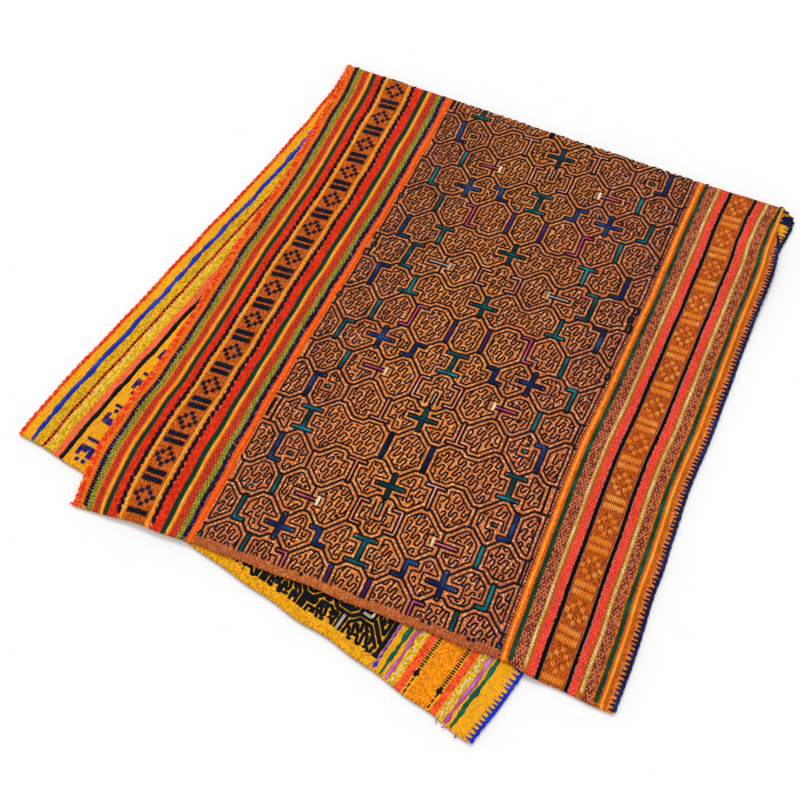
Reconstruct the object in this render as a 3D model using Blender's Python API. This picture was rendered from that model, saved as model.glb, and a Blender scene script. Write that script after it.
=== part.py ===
# An embroidered cloth panel of three widths sewn side by side, folded once across and laid flat.
# Metres, +Z up. The fold runs along X at the +Y side, and both hems lie towards -Y.
# The face of the cloth is outside: it is the top of the upper layer and the bottom of the under one.

import math
from collections import namedtuple

import bmesh
import bpy

# The three widths as they were cut, side by side, and what parts them at the seams.
LEFT_BAND_WIDTH = 0.165
CENTRE_WIDTH = 0.360
RIGHT_BAND_WIDTH = 0.135
SEAM_GAP = 0.0003

# Thickness of the heavy striped bands, of the lighter centre, and of the doubled hem at its ends.
BAND_THICKNESS = 0.0018
CENTRE_THICKNESS = 0.0014
HEM_EXTRA = 0.0006
HEM_DEPTH = 0.026
HEM_STEP = 0.003

# Heights: the upper layer rides clear of the under one, and the fold rolls a little higher.
LAYER_GAP = 0.002
UPPER_TOP = 2 * BAND_THICKNESS + LAYER_GAP
FOLD_HEIGHT = 0.0070
FOLD_RADIUS = FOLD_HEIGHT / 2
FOLD_RELAX = 0.045

# Past the under layer's outline the upper one comes down to the surface.
DROP_START = 0.016
DROP_LENGTH = 0.020

# Low waves in the upper layer.
WAVE_HEIGHT = 0.0007
WAVE_LENGTH_X = 0.21
WAVE_LENGTH_Y = 0.27

# Facets: columns in each width, steps round the fold, and the rows, whose last ones are given
# as distances from the hem.
LEFT_BAND_COLUMNS = 7
CENTRE_COLUMNS = 10
RIGHT_BAND_COLUMNS = 10
FOLD_STEPS = 6
NOMINAL_LAYER_LENGTH = 0.735
FOLD_ROW_DISTANCES = (0.006, 0.014, 0.025, 0.045)
UPPER_ROW_SPACING = 0.034
UNDER_ROW_SPACING = 0.050
LAST_ROWS_DEPTH = 0.048
UPPER_LAST_ROWS = (0.040, 0.032, HEM_DEPTH, HEM_DEPTH - HEM_STEP, 0.016, 0.008, 0.0)
UNDER_LAST_ROWS = (HEM_DEPTH, HEM_DEPTH - HEM_STEP, 0.0)

# Four lengthwise lines of the cloth in plan: its two long edges and its two seams.
# along is the share of the way from the fold to the hem. The other columns are X, with X = 0 and
# Y = 0 at the fold's left end.
Line = namedtuple("Line", "along left_edge left_seam right_seam right_edge")
UPPER_LINES = (
    Line(0.00, 0.0000, 0.1720, 0.5380, 0.6520),
    Line(0.04, 0.0065, 0.1750, 0.5400, 0.6550),
    Line(0.09, 0.0120, 0.1790, 0.5420, 0.6680),
    Line(0.15, 0.0170, 0.1830, 0.5450, 0.6755),
    Line(0.28, 0.0290, 0.1900, 0.5520, 0.6810),
    Line(0.42, 0.0330, 0.1955, 0.5575, 0.6885),
    Line(0.50, 0.0370, 0.1985, 0.5610, 0.6930),
    Line(0.62, 0.0460, 0.2030, 0.5650, 0.6970),
    Line(0.74, 0.0510, 0.2095, 0.5740, 0.7070),
    Line(0.80, 0.0505, 0.2135, 0.5790, 0.7105),
    Line(0.90, 0.0550, 0.2215, 0.5875, 0.7195),
    Line(1.00, 0.0740, 0.2290, 0.5970, 0.7255),
)
UNDER_LINES = (
    Line(0.00, 0.0000, 0.1720, 0.5380, 0.6710),
    Line(0.10, 0.0025, 0.1660, 0.5330, 0.6670),
    Line(0.30, -0.0050, 0.1550, 0.5220, 0.6560),
    Line(0.50, -0.0190, 0.1430, 0.5100, 0.6440),
    Line(0.70, -0.0310, 0.1320, 0.4990, 0.6330),
    Line(0.88, -0.0440, 0.1240, 0.4895, 0.6250),
    Line(1.00, -0.0470, 0.1180, 0.4820, 0.6100),
)
# Y of the fold's outline and of the two hems, where each of the four lines meets them.
Ends = namedtuple("Ends", "left_edge left_seam right_seam right_edge")
UPPER_FOLD_Y = Ends(0.000, 0.000, -0.002, 0.002)
UNDER_FOLD_Y = Ends(0.000, 0.000, -0.002, -0.009)
UPPER_HEM_Y = Ends(-0.765, -0.742, -0.7055, -0.703)
UNDER_HEM_Y = Ends(-0.717, -0.731, -0.776, -0.796)

# Where each line lies across the cut cloth, from its left edge.
ACROSS = Ends(
    0.0,
    LEFT_BAND_WIDTH,
    LEFT_BAND_WIDTH + CENTRE_WIDTH,
    LEFT_BAND_WIDTH + CENTRE_WIDTH + RIGHT_BAND_WIDTH,
)

# Colour and roughness of each width, seen from a step away.
Finish = namedtuple("Finish", "colour roughness")
LEFT_BAND_FINISH = Finish((0.55, 0.16, 0.05, 1.0), 0.85)
CENTRE_FINISH = Finish((0.28, 0.11, 0.04, 1.0), 0.88)
RIGHT_BAND_FINISH = Finish((0.58, 0.20, 0.06, 1.0), 0.85)


def clamp(value, low, high):
    return max(low, min(high, value))


def ease(share):
    share = clamp(share, 0.0, 1.0)
    return share * share * (3.0 - 2.0 * share)


def smooth_column(lines, column, along):
    """Value of one column of a table at a share of the way along, on a smooth curve."""
    last = len(lines) - 1
    row = 0
    while row < last - 1 and along > lines[row + 1].along:
        row += 1
    before, start = lines[max(row - 1, 0)], lines[row]
    end, after = lines[row + 1], lines[min(row + 2, last)]

    def slope(first, second):
        rise = getattr(second, column) - getattr(first, column)
        return rise / (second.along - first.along)

    step = end.along - start.along
    share = (along - start.along) / step
    slope_in = slope(before, end) * step
    slope_out = slope(start, after) * step
    low, high = getattr(start, column), getattr(end, column)
    return (
        low * (1 + 2 * share) * (1 - share) ** 2
        + slope_in * share * (1 - share) ** 2
        + high * share * share * (3 - 2 * share)
        - slope_out * share * share * (1 - share)
    )


def plan_point(lines, fold_y, hem_y, across, along):
    """X and Y of a point of one layer, from its place across and along the cut cloth."""
    names = ACROSS._fields
    index = 0
    while index < len(names) - 2 and across > ACROSS[index + 1]:
        index += 1
    share = (across - ACROSS[index]) / (ACROSS[index + 1] - ACROSS[index])
    sides = []
    for side in (index, index + 1):
        x = smooth_column(lines, names[side], along)
        y = (fold_y[side] - FOLD_RADIUS) * (1 - along) + hem_y[side] * along
        sides.append((x, y))
    (left_x, left_y), (right_x, right_y) = sides
    return left_x + (right_x - left_x) * share, left_y + (right_y - left_y) * share


def upper_plan(across, along):
    return plan_point(UPPER_LINES, UPPER_FOLD_Y, UPPER_HEM_Y, across, along)


def under_plan(across, along):
    return plan_point(UNDER_LINES, UNDER_FOLD_Y, UNDER_HEM_Y, across, along)


def distance_past_under_layer(x, y):
    """How far a point of the upper layer lies outside the under layer's right edge or hem."""
    along = clamp(y / UNDER_HEM_Y.right_edge, 0.0, 1.0)
    past_side = x - smooth_column(UNDER_LINES, "right_edge", along)
    left, right = UNDER_LINES[-1].left_edge, UNDER_LINES[-1].right_edge
    share = clamp((x - left) / (right - left), 0.0, 1.0)
    hem_y = UNDER_HEM_Y.left_edge + (UNDER_HEM_Y.right_edge - UNDER_HEM_Y.left_edge) * share
    return max(past_side, hem_y - y)


def upper_top_height(x, y, from_fold):
    """Height of the top of the upper layer, from its place in plan."""
    settled = ease(from_fold / FOLD_RELAX)
    height = FOLD_HEIGHT + (UPPER_TOP - FOLD_HEIGHT) * settled
    wave_x = math.sin(2 * math.pi * (x / WAVE_LENGTH_X + y / WAVE_LENGTH_Y))
    wave_y = math.sin(2 * math.pi * (y / WAVE_LENGTH_Y - 0.5 * x / WAVE_LENGTH_X))
    height += WAVE_HEIGHT * settled * (1 + wave_x * wave_y)
    dropped = ease((distance_past_under_layer(x, y) - DROP_START) / DROP_LENGTH)
    return height + (BAND_THICKNESS - height) * dropped


def layer_rows(spacing, last_rows):
    """Shares of the way from the fold to the hem at which a layer has a row of facets."""
    fold_part = [0.0, *FOLD_ROW_DISTANCES]
    plain_start = fold_part[-1]
    plain_length = NOMINAL_LAYER_LENGTH - LAST_ROWS_DEPTH - plain_start
    steps = round(plain_length / spacing)
    plain_part = [plain_start + plain_length * (index + 1) / steps for index in range(steps)]
    last_part = [NOMINAL_LAYER_LENGTH - from_hem for from_hem in last_rows]
    return [distance / NOMINAL_LAYER_LENGTH for distance in fold_part + plain_part + last_part]


def hem_thickness(along, has_hem):
    if not has_hem:
        return 0.0
    from_start = along * NOMINAL_LAYER_LENGTH - (NOMINAL_LAYER_LENGTH - HEM_DEPTH)
    return HEM_EXTRA * clamp(from_start / HEM_STEP, 0.0, 1.0)


def section(across, thickness, has_hem):
    """One lengthwise section, hem to hem: pairs of a point on the face and one on the reverse."""
    pairs = []
    for along in reversed(layer_rows(UNDER_ROW_SPACING, UNDER_LAST_ROWS)):
        x, y = under_plan(across, along)
        depth = thickness + hem_thickness(along, has_hem)
        pairs.append(((x, y, 0.0), (x, y, depth)))
    bottom = under_plan(across, 0.0)
    top = upper_plan(across, 0.0)
    for step in range(1, FOLD_STEPS):
        angle = math.pi * step / FOLD_STEPS
        share = (1 - math.cos(angle)) / 2
        x = bottom[0] + (top[0] - bottom[0]) * share
        y = bottom[1] + (top[1] - bottom[1]) * share
        pairs.append(tuple(
            (x, y + radius * math.sin(angle), FOLD_RADIUS - radius * math.cos(angle))
            for radius in (FOLD_RADIUS, FOLD_RADIUS - thickness)
        ))
    for along in layer_rows(UPPER_ROW_SPACING, UPPER_LAST_ROWS):
        x, y = upper_plan(across, along)
        height = upper_top_height(x, y, along * NOMINAL_LAYER_LENGTH)
        depth = thickness + hem_thickness(along, has_hem)
        pairs.append(((x, y, height), (x, y, height - depth)))
    return pairs


def folded_sheet(name, start, end, columns, thickness, has_hem, finish):
    """One width of the cloth as a closed folded sheet, between two places across the cut cloth."""
    sections = []
    for column in range(columns + 1):
        across = start + (end - start) * column / columns
        sections.append(section(across, thickness, has_hem))
    bm = bmesh.new()
    outer = [[bm.verts.new(pair[0]) for pair in line] for line in sections]
    inner = [[bm.verts.new(pair[1]) for pair in line] for line in sections]
    rows = len(sections[0])
    for column in range(columns):
        for row in range(rows - 1):
            for side in (outer, inner):
                bm.faces.new((side[column][row], side[column + 1][row],
                              side[column + 1][row + 1], side[column][row + 1]))
    for column in (0, columns):
        for row in range(rows - 1):
            bm.faces.new((outer[column][row], outer[column][row + 1],
                          inner[column][row + 1], inner[column][row]))
    for row in (0, rows - 1):
        for column in range(columns):
            bm.faces.new((outer[column][row], outer[column + 1][row],
                          inner[column + 1][row], inner[column][row]))
    bmesh.ops.recalc_face_normals(bm, faces=bm.faces)
    bmesh.ops.triangulate(bm, faces=bm.faces)
    mesh = bpy.data.meshes.new(name)
    bm.to_mesh(mesh)
    bm.free()
    mesh.shade_smooth()
    mesh.set_sharp_from_angle(angle=math.radians(40))
    mesh.materials.append(cloth_material(name, finish))
    cloth = bpy.data.objects.new(name, mesh)
    bpy.context.scene.collection.objects.link(cloth)
    return cloth


def cloth_material(name, finish):
    material = bpy.data.materials.new(name)
    material.use_nodes = True
    shader = material.node_tree.nodes["Principled BSDF"]
    shader.inputs["Base Color"].default_value = finish.colour
    shader.inputs["Roughness"].default_value = finish.roughness
    shader.inputs["Metallic"].default_value = 0.0
    return material


def left_band():
    return folded_sheet("left_band", ACROSS.left_edge, ACROSS.left_seam - SEAM_GAP / 2,
                        LEFT_BAND_COLUMNS, BAND_THICKNESS, False, LEFT_BAND_FINISH)


def centre_panel():
    return folded_sheet("centre_panel", ACROSS.left_seam + SEAM_GAP / 2, ACROSS.right_seam - SEAM_GAP / 2,
                        CENTRE_COLUMNS, CENTRE_THICKNESS, True, CENTRE_FINISH)


def right_band():
    return folded_sheet("right_band", ACROSS.right_seam + SEAM_GAP / 2, ACROSS.right_edge,
                        RIGHT_BAND_COLUMNS, BAND_THICKNESS, False, RIGHT_BAND_FINISH)


def centre_on_origin(cloths):
    """Moves the whole cloth so that the middle of its plan lies at the origin."""
    points = [vertex.co for cloth in cloths for vertex in cloth.data.vertices]
    middle_x = (min(point.x for point in points) + max(point.x for point in points)) / 2
    middle_y = (min(point.y for point in points) + max(point.y for point in points)) / 2
    for cloth in cloths:
        cloth.location = (-middle_x, -middle_y, 0.0)


def main():
    for old in list(bpy.data.objects):
        bpy.data.objects.remove(old, do_unlink=True)
    cloths = [left_band(), centre_panel(), right_band()]
    centre_on_origin(cloths)


main()
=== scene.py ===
import math
from functools import partial

import bmesh
import bpy
import numpy as np
from mathutils import Matrix, Vector


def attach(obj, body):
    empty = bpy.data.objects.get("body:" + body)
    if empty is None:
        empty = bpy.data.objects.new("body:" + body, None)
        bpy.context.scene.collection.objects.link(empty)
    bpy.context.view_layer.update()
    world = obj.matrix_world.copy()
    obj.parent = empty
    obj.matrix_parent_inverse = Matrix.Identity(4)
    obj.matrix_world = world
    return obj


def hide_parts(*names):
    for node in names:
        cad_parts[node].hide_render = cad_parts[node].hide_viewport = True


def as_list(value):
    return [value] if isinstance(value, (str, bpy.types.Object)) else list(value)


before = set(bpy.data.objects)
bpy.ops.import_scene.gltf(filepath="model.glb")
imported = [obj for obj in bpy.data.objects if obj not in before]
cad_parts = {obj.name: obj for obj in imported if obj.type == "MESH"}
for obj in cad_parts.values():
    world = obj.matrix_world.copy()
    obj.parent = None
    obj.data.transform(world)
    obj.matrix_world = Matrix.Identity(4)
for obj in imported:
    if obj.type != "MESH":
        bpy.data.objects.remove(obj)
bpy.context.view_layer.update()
print("frame loaded, nodes:", ", ".join(sorted(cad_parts)))

scene = bpy.context.scene


# colours and node helpers
def linear(colour):
    # from the 0 to 255 numbers of a colour picker
    shares = [part / 255 for part in colour]
    shares = [part / 12.92 if part <= 0.04045 else ((part + 0.055) / 1.055) ** 2.4 for part in shares]
    return (*shares, 1.0)


def feed(tree, socket, value):
    if isinstance(value, bpy.types.NodeSocket):
        tree.links.new(value, socket)
    elif value is not None:
        socket.default_value = value


def calc(tree, operation, first, second=None, third=None):
    node = tree.nodes.new("ShaderNodeMath")
    node.operation = operation
    for socket, value in zip(node.inputs, (first, second, third)):
        feed(tree, socket, value)
    return node.outputs[0]


def blendColour(tree, share, first, second, mode="MIX"):
    node = tree.nodes.new("ShaderNodeMix")
    node.data_type = "RGBA"
    node.blend_type = mode
    feed(tree, node.inputs["Factor"], share)
    colours = [socket for socket in node.inputs if socket.type == "RGBA"]
    feed(tree, colours[0], first)
    feed(tree, colours[1], second)
    return [socket for socket in node.outputs if socket.type == "RGBA"][0]


def rangeOf(tree, value, low, high, newLow=0.0, newHigh=1.0):
    node = tree.nodes.new("ShaderNodeMapRange")
    node.interpolation_type = "SMOOTHSTEP"
    for name, number in (("Value", value), ("From Min", low), ("From Max", high),
                         ("To Min", newLow), ("To Max", newHigh)):
        feed(tree, node.inputs[name], number)
    return node.outputs["Result"]


def noiseOf(tree, vector, size, detail=2.0, roughness=0.5):
    node = tree.nodes.new("ShaderNodeTexNoise")
    feed(tree, node.inputs["Vector"], vector)
    node.inputs["Scale"].default_value = 1 / size
    node.inputs["Detail"].default_value = detail
    node.inputs["Roughness"].default_value = roughness
    return node.outputs["Fac"]


def vectorOf(tree, x, y, z=0.0):
    node = tree.nodes.new("ShaderNodeCombineXYZ")
    for socket, value in zip(node.inputs, (x, y, z)):
        feed(tree, socket, value)
    return node.outputs[0]


def partsOf(tree, vector):
    node = tree.nodes.new("ShaderNodeSeparateXYZ")
    feed(tree, node.inputs[0], vector)
    return node.outputs


def useGroup(tree, group, **values):
    node = tree.nodes.new("ShaderNodeGroup")
    node.node_tree = group
    for name, value in values.items():
        feed(tree, node.inputs[name], value)
    return node.outputs


def startGroup(name, inputs, outputs):
    # an input with no value is a vector, and all others are numbers
    tree = bpy.data.node_groups.new(name, "ShaderNodeTree")
    for label, value in inputs:
        kind = "NodeSocketVector" if value is None else "NodeSocketFloat"
        socket = tree.interface.new_socket(label, in_out="INPUT", socket_type=kind)
        if value is not None:
            socket.default_value = value
    for label in outputs:
        tree.interface.new_socket(label, in_out="OUTPUT", socket_type="NodeSocketFloat")
    return tree, tree.nodes.new("NodeGroupInput").outputs, tree.nodes.new("NodeGroupOutput").inputs


def startMaterial(name, roughness, sheen, specular):
    material = bpy.data.materials.new(name)
    material.use_nodes = True
    tree = material.node_tree
    shader = tree.nodes["Principled BSDF"]
    for label, value in (("Roughness", roughness), ("Sheen Weight", sheen), ("Sheen Roughness", 0.5),
                         ("Specular IOR Level", specular)):
        shader.inputs[label].default_value = value
    return material, tree, shader


def addBump(tree, shader, height, distance, strength):
    node = tree.nodes.new("ShaderNodeBump")
    node.inputs["Strength"].default_value = strength
    node.inputs["Distance"].default_value = distance
    tree.links.new(height, node.inputs["Height"])
    tree.links.new(node.outputs["Normal"], shader.inputs["Normal"])


# camera, light and floor
studio = {
    "eye": (0.46385, -0.6838, 1.2047),
    "right": (0.870312, 0.485515, -0.082698),
    "up": (-0.374501, 0.761439, 0.529119),
    "lens": 53.4,
    "sensor": 36.0,
    "clipStart": 0.05,
    "floorHeight": -0.0016,  # below the stitches that wrap round the edges
    "floorReach": 6.0,
    "floorColour": (250, 250, 250),
    "floorShade": 0.985,  # how dark its faint grain is
    "floorGrain": 0.05,
    "skyColour": (255, 255, 255),
    "skyStrength": 0.7,
    # name, place that it shines from, spread in degrees, strength
    "lamps": (("keyLight", (-1.0, 1.5, 2.2), 24.0, 1.15),
              ("fillLight", (1.6, -0.6, 2.4), 50.0, 0.25)),
}


def makeStudio(look):
    right, up = Vector(look["right"]), Vector(look["up"])
    back = right.cross(up).normalized()
    up = back.cross(right).normalized()
    turn = Matrix((right.normalized(), up, back)).transposed().to_4x4()
    camera = bpy.data.objects.new("photoCamera", bpy.data.cameras.new("photoCamera"))
    camera.data.lens = look["lens"]
    camera.data.sensor_width = look["sensor"]
    camera.data.sensor_fit = "HORIZONTAL"
    camera.data.clip_start = look["clipStart"]
    camera.matrix_world = Matrix.Translation(look["eye"]) @ turn
    scene.collection.objects.link(camera)
    scene.camera = camera

    world = bpy.data.worlds.new("softRoom")
    world.use_nodes = True
    sky = world.node_tree.nodes["Background"]
    sky.inputs["Color"].default_value = linear(look["skyColour"])
    sky.inputs["Strength"].default_value = look["skyStrength"]
    scene.world = world
    scene.view_settings.view_transform = "Standard"

    for name, place, spread, strength in look["lamps"]:
        lamp = bpy.data.objects.new(name, bpy.data.lights.new(name, "SUN"))
        lamp.data.angle = math.radians(spread)
        lamp.data.energy = strength
        lamp.location = place
        lamp.rotation_euler = (-Vector(place)).to_track_quat("-Z", "Y").to_euler()
        scene.collection.objects.link(lamp)

    mesh = bpy.data.meshes.new("floor")
    reach = look["floorReach"]
    corners = [(x, y, look["floorHeight"]) for x, y in
               ((-reach, -reach), (reach, -reach), (reach, reach), (-reach, reach))]
    mesh.from_pydata(corners, [], [(0, 1, 2, 3)])
    floor = bpy.data.objects.new("floor", mesh)
    scene.collection.objects.link(floor)
    material, tree, shader = startMaterial("floorPaper", 0.9, 0.0, specular=0.1)
    grain = noiseOf(tree, tree.nodes.new("ShaderNodeTexCoord").outputs["Object"], look["floorGrain"])
    pale = linear(look["floorColour"])
    shade = tuple(part * look["floorShade"] for part in pale[:3]) + (1.0,)
    tree.links.new(blendColour(tree, grain, pale, shade), shader.inputs["Base Color"])
    mesh.materials.append(material)


makeStudio(studio)
print("camera, light and floor are in place")


# the folded cloth: from a place on the flat cloth to a place in the room
# u runs across the three widths from the left edge, v along them with the fold near 0
cloth = {
    "lines": (0.0, 0.165, 0.525, 0.66),  # left edge, left seam, right seam, right edge
    "halfLength": 0.745,
    "crest": (-0.024, 0.036),  # v of the fold at the left and the right edge
    "corner": (-0.33925, 0.398),  # where the fold's left end lies
    "foldRadius": 0.0035,
    "foldRelax": 0.045,
    "bandThickness": 0.0018,
    "centreThickness": 0.0014,
    "layerGap": 0.0013,
    "dropStart": 0.004,
    "dropLength": 0.026,
    "waveHeight": 0.0007,
    "waveX": 0.21,
    "waveY": 0.27,
    "seamGap": 0.0003,
    "layerStart": 0.008,  # the under layer starts this far below the crest
    "hemExtra": 0.0006,
    "hemDepth": 0.026,
    "hemStep": 0.003,
    # u, and how far the lines stray there
    "wander": ((0.0, 0.165, 0.3, 0.525, 0.66), (0.00055, 0.00055, 0.0004, 0.00025, 0.00025)),
    "wanderSize": 0.085,
    "wanderSeeds": (21, 22, 23),
    "hemWander": 0.0012,
    "hemWanderFrom": 0.94,  # shares of the length from fold to hem
    "hemWanderLength": 0.06,
    "hemWanderSize": 0.07,
    "tuckShare": 0.16,  # how much of the right width is turned in at the fold
    "tuckLength": 0.11,
    "tuckStrip": 0.08,  # what is left of its outer strip
    # share of the way from fold to hem, then x of the four lines from the fold's left end
    "upper": (
        (0.0, 0.0, 0.172, 0.538, 0.652),
        (0.04, 0.0065, 0.175, 0.54, 0.655),
        (0.09, 0.012, 0.179, 0.542, 0.668),
        (0.15, 0.017, 0.183, 0.545, 0.6755),
        (0.28, 0.029, 0.19, 0.552, 0.681),
        (0.42, 0.033, 0.1955, 0.5575, 0.6885),
        (0.5, 0.037, 0.1985, 0.561, 0.693),
        (0.62, 0.046, 0.203, 0.565, 0.697),
        (0.74, 0.051, 0.2095, 0.574, 0.707),
        (0.8, 0.0505, 0.2135, 0.579, 0.7105),
        (0.9, 0.055, 0.2215, 0.5875, 0.7195),
        (1.0, 0.074, 0.229, 0.597, 0.7255),
    ),
    "under": (
        (0.0, 0.0, 0.172, 0.538, 0.671),
        (0.1, 0.0025, 0.166, 0.533, 0.667),
        (0.3, -0.005, 0.155, 0.522, 0.656),
        (0.5, -0.019, 0.143, 0.51, 0.644),
        (0.7, -0.031, 0.132, 0.499, 0.633),
        (0.88, -0.044, 0.124, 0.4895, 0.625),
        (1.0, -0.047, 0.118, 0.482, 0.61),
    ),
    # y of the fold and of the hem where the four lines meet them
    "upperFoldY": (0.0, 0.0, -0.002, 0.002),
    "underFoldY": (0.0, 0.0, -0.002, -0.009),
    "upperHemY": (-0.765, -0.742, -0.7055, -0.703),
    "underHemY": (-0.717, -0.731, -0.776, -0.796),
}
edgeLines = np.array(cloth["lines"])
quarterTurn = math.pi * cloth["foldRadius"] / 2


def ease(share):
    share = np.clip(share, 0.0, 1.0)
    return share * share * (3 - 2 * share)


def softNoise(x, y, size, seed):
    # a smooth wandering value from about -1 to 1
    pick = np.random.default_rng(seed)
    total = 0.0
    for octave in range(4):
        angle = pick.uniform(0, 2 * math.pi)
        pace = 2 * math.pi * (1 + 0.37 * octave) / size
        total = total + np.sin(pace * (x * math.cos(angle) + y * math.sin(angle)) + pick.uniform(0, 6.28))
    return total / 2.4


def smoothColumns(table, along):
    table = np.array(table)
    spots, last = table[:, 0], len(table) - 1
    row = np.clip(np.searchsorted(spots[1:], along, side="left"), 0, last - 1)
    before, after = np.maximum(row - 1, 0), np.minimum(row + 2, last)

    def slope(first, second):
        return (table[second, 1:] - table[first, 1:]) / (spots[second] - spots[first])[:, None]

    step = (spots[row + 1] - spots[row])[:, None]
    share = (along - spots[row])[:, None] / step
    low, high = table[row, 1:], table[row + 1, 1:]
    return (low * (1 + 2 * share) * (1 - share) ** 2
            + slope(before, row + 1) * step * share * (1 - share) ** 2
            + high * share * share * (3 - 2 * share)
            - slope(row, after) * step * share * share * (1 - share))


def layerPlan(table, foldY, hemY, u, along, tuck=False):
    index = np.clip(np.searchsorted(edgeLines[1:], u, side="left"), 0, 2)
    share = (u - edgeLines[index]) / (edgeLines[index + 1] - edgeLines[index])
    xs = smoothColumns(table, along)
    foldY, hemY = np.array(foldY), np.array(hemY)
    ys = (foldY - cloth["foldRadius"]) * (1 - along[:, None]) + hemY * along[:, None]
    row = np.arange(len(u))
    if tuck:
        # near the fold the right edge is turned in, so that its outer strip all but vanishes
        squeeze = 1 + cloth["tuckShare"] * (1 - ease(along / cloth["tuckLength"]))
        turned = np.minimum(share * squeeze, 1 - (1 - share) * cloth["tuckStrip"])
        share = np.where(index == 2, turned, share)
    x = xs[row, index] * (1 - share) + xs[row, index + 1] * share
    y = ys[row, index] * (1 - share) + ys[row, index + 1] * share
    return x, y


def crestAt(u):
    start, end = cloth["crest"]
    return start + (end - start) * u / edgeLines[-1]


def upperHeight(x, y, fromFold):
    settled = ease(fromFold / cloth["foldRelax"])
    top = 2 * cloth["foldRadius"]
    rest = 2 * cloth["bandThickness"] + cloth["layerGap"]
    height = top + (rest - top) * settled
    waveX = np.sin(2 * math.pi * (x / cloth["waveX"] + y / cloth["waveY"]))
    waveY = np.sin(2 * math.pi * (y / cloth["waveY"] - 0.5 * x / cloth["waveX"]))
    height = height + cloth["waveHeight"] * settled * (1 + waveX * waveY)
    # past the under layer it comes down to the floor
    hemY = cloth["underHemY"]
    along = np.clip(y / hemY[3], 0, 1)
    pastSide = x - smoothColumns(cloth["under"], along)[:, 3]
    left, right = cloth["under"][-1][1], cloth["under"][-1][4]
    share = np.clip((x - left) / (right - left), 0, 1)
    pastHem = hemY[0] + (hemY[3] - hemY[0]) * share - y
    dropped = ease((np.maximum(pastSide, pastHem) - cloth["dropStart"]) / cloth["dropLength"])
    return height + (cloth["bandThickness"] - height) * dropped


def clothPlace(u, v):
    crest = crestAt(u)
    half = cloth["halfLength"]
    alongUpper = np.maximum((v - crest - quarterTurn) / (half - crest - quarterTurn), 0)
    alongUnder = np.maximum((crest - quarterTurn - v) / (half + crest - quarterTurn), 0)
    xTop, yTop = layerPlan(cloth["upper"], cloth["upperFoldY"], cloth["upperHemY"], u, alongUpper, True)
    xLow, yLow = layerPlan(cloth["under"], cloth["underFoldY"], cloth["underHemY"], u, alongUnder)
    turn = np.clip((v - crest) / quarterTurn, -1, 1)
    angle = math.pi / 2 * (1 + turn)
    share = (1 - np.cos(angle)) / 2
    radius = cloth["foldRadius"]
    x = xLow * (1 - share) + xTop * share
    y = yLow * (1 - share) + yTop * share + radius * np.sin(angle)
    fromFold = alongUpper * (half - crest)
    z = np.where(turn >= 1, upperHeight(x, y, fromFold), radius - radius * np.cos(angle))
    # hand-woven lines stray a little, and hems more
    stray = np.interp(u, *cloth["wander"])
    seedX, seedY, seedHem = cloth["wanderSeeds"]
    x = x + stray * softNoise(u, v, cloth["wanderSize"], seedX)
    y = y + stray * 0.6 * softNoise(u, v, cloth["wanderSize"], seedY)
    nearHem = ease((np.abs(v) / half - cloth["hemWanderFrom"]) / cloth["hemWanderLength"])
    y = y + cloth["hemWander"] * nearHem * softNoise(u, v * 0.2, cloth["hemWanderSize"], seedHem)
    cornerX, cornerY = cloth["corner"]
    return np.stack([x + cornerX, y + cornerY, z], 1)


def clothNormal(u, v):
    step = 0.0004
    across = clothPlace(u + step, v) - clothPlace(u - step, v)
    along = clothPlace(u, v + step) - clothPlace(u, v - step)
    normal = np.cross(along, across)
    return normal / np.linalg.norm(normal, axis=1)[:, None]


def onCloth(points):
    # points are u, v and the lift from the face; a lift below minus the thickness is on the reverse
    points = np.asarray(points, float)
    u, v, lift = points.T
    return clothPlace(u, v) + clothNormal(u, v) * lift[:, None]


# weave and dye patterns that the cloths share
palette = {
    "redOrange": (228, 50, 16), "darkRed": (150, 22, 16), "orange": (242, 120, 22),
    "deepOrange": (226, 94, 10), "glowOrange": (255, 152, 48), "brightOrange": (250, 84, 8),
    "lineYellow": (255, 190, 44), "oliveGreen": (104, 110, 26), "oliveShade": (180, 160, 58),
    "darkGreen": (4, 64, 44), "redBrown": (176, 38, 26), "speckOrange": (226, 100, 44),
    "motifBrown": (204, 94, 26), "motifOrange": (188, 84, 24), "motifShade": (120, 48, 20),
    "black": (8, 7, 12), "pinkSpeck": (226, 158, 140), "navy": (14, 18, 54),
    "greySpeck": (120, 84, 84), "coral": (228, 56, 40), "mauveBrown": (188, 104, 66),
    "mauveShade": (112, 44, 36), "khakiGround": (176, 112, 34), "brownOrange": (196, 94, 28),
    "grey": (170, 140, 122), "gold": (252, 176, 28), "goldShade": (216, 132, 20),
    "oliveYellow": (226, 172, 26), "oliveDark": (186, 130, 18), "mustardLight": (246, 204, 66),
    "crimson": (190, 30, 50), "salmon": (250, 112, 66), "salmonShade": (236, 84, 60),
    "coralBright": (252, 92, 46),
    "wideOrange": (252, 148, 20), "wideShade": (214, 112, 14), "rimOrange": (230, 126, 48),
    "amber": (250, 146, 22), "midRed": (184, 34, 18), "coralPink": (250, 112, 88),
    "ground": (210, 116, 60), "groundYellow": (218, 126, 52), "groundBrown": (190, 102, 62),
    # groundPale is the colour of the centre's painted glints
    "groundPale": (246, 204, 152), "groundRed": (150, 62, 38), "groundHem": (150, 70, 38),
}


wovenLook = {
    "bendSize": 0.012,  # the threads bend, over this far and by this much
    "bend": 0.001,
    "bulge": (-4.0, -2.4),  # how round a cell is, across and along
    # painted shade: a cell's rounded middle is painted lighter and its edges, the gaps between threads,
    # darker
    "shade": (0.62, 0.66),  # how much its roundness shades it, and its least shade
    "streakSize": 0.03,
    "streakStretch": 40.0,
    "raggedSize": 0.004,
    # values between which each mask comes in
    "ticks": (0.46, 0.58),
    "specks": (0.58, 0.66),
    "glintCells": (0.84, 0.88),
    "dashes": (0.25, 0.75),
}


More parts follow.
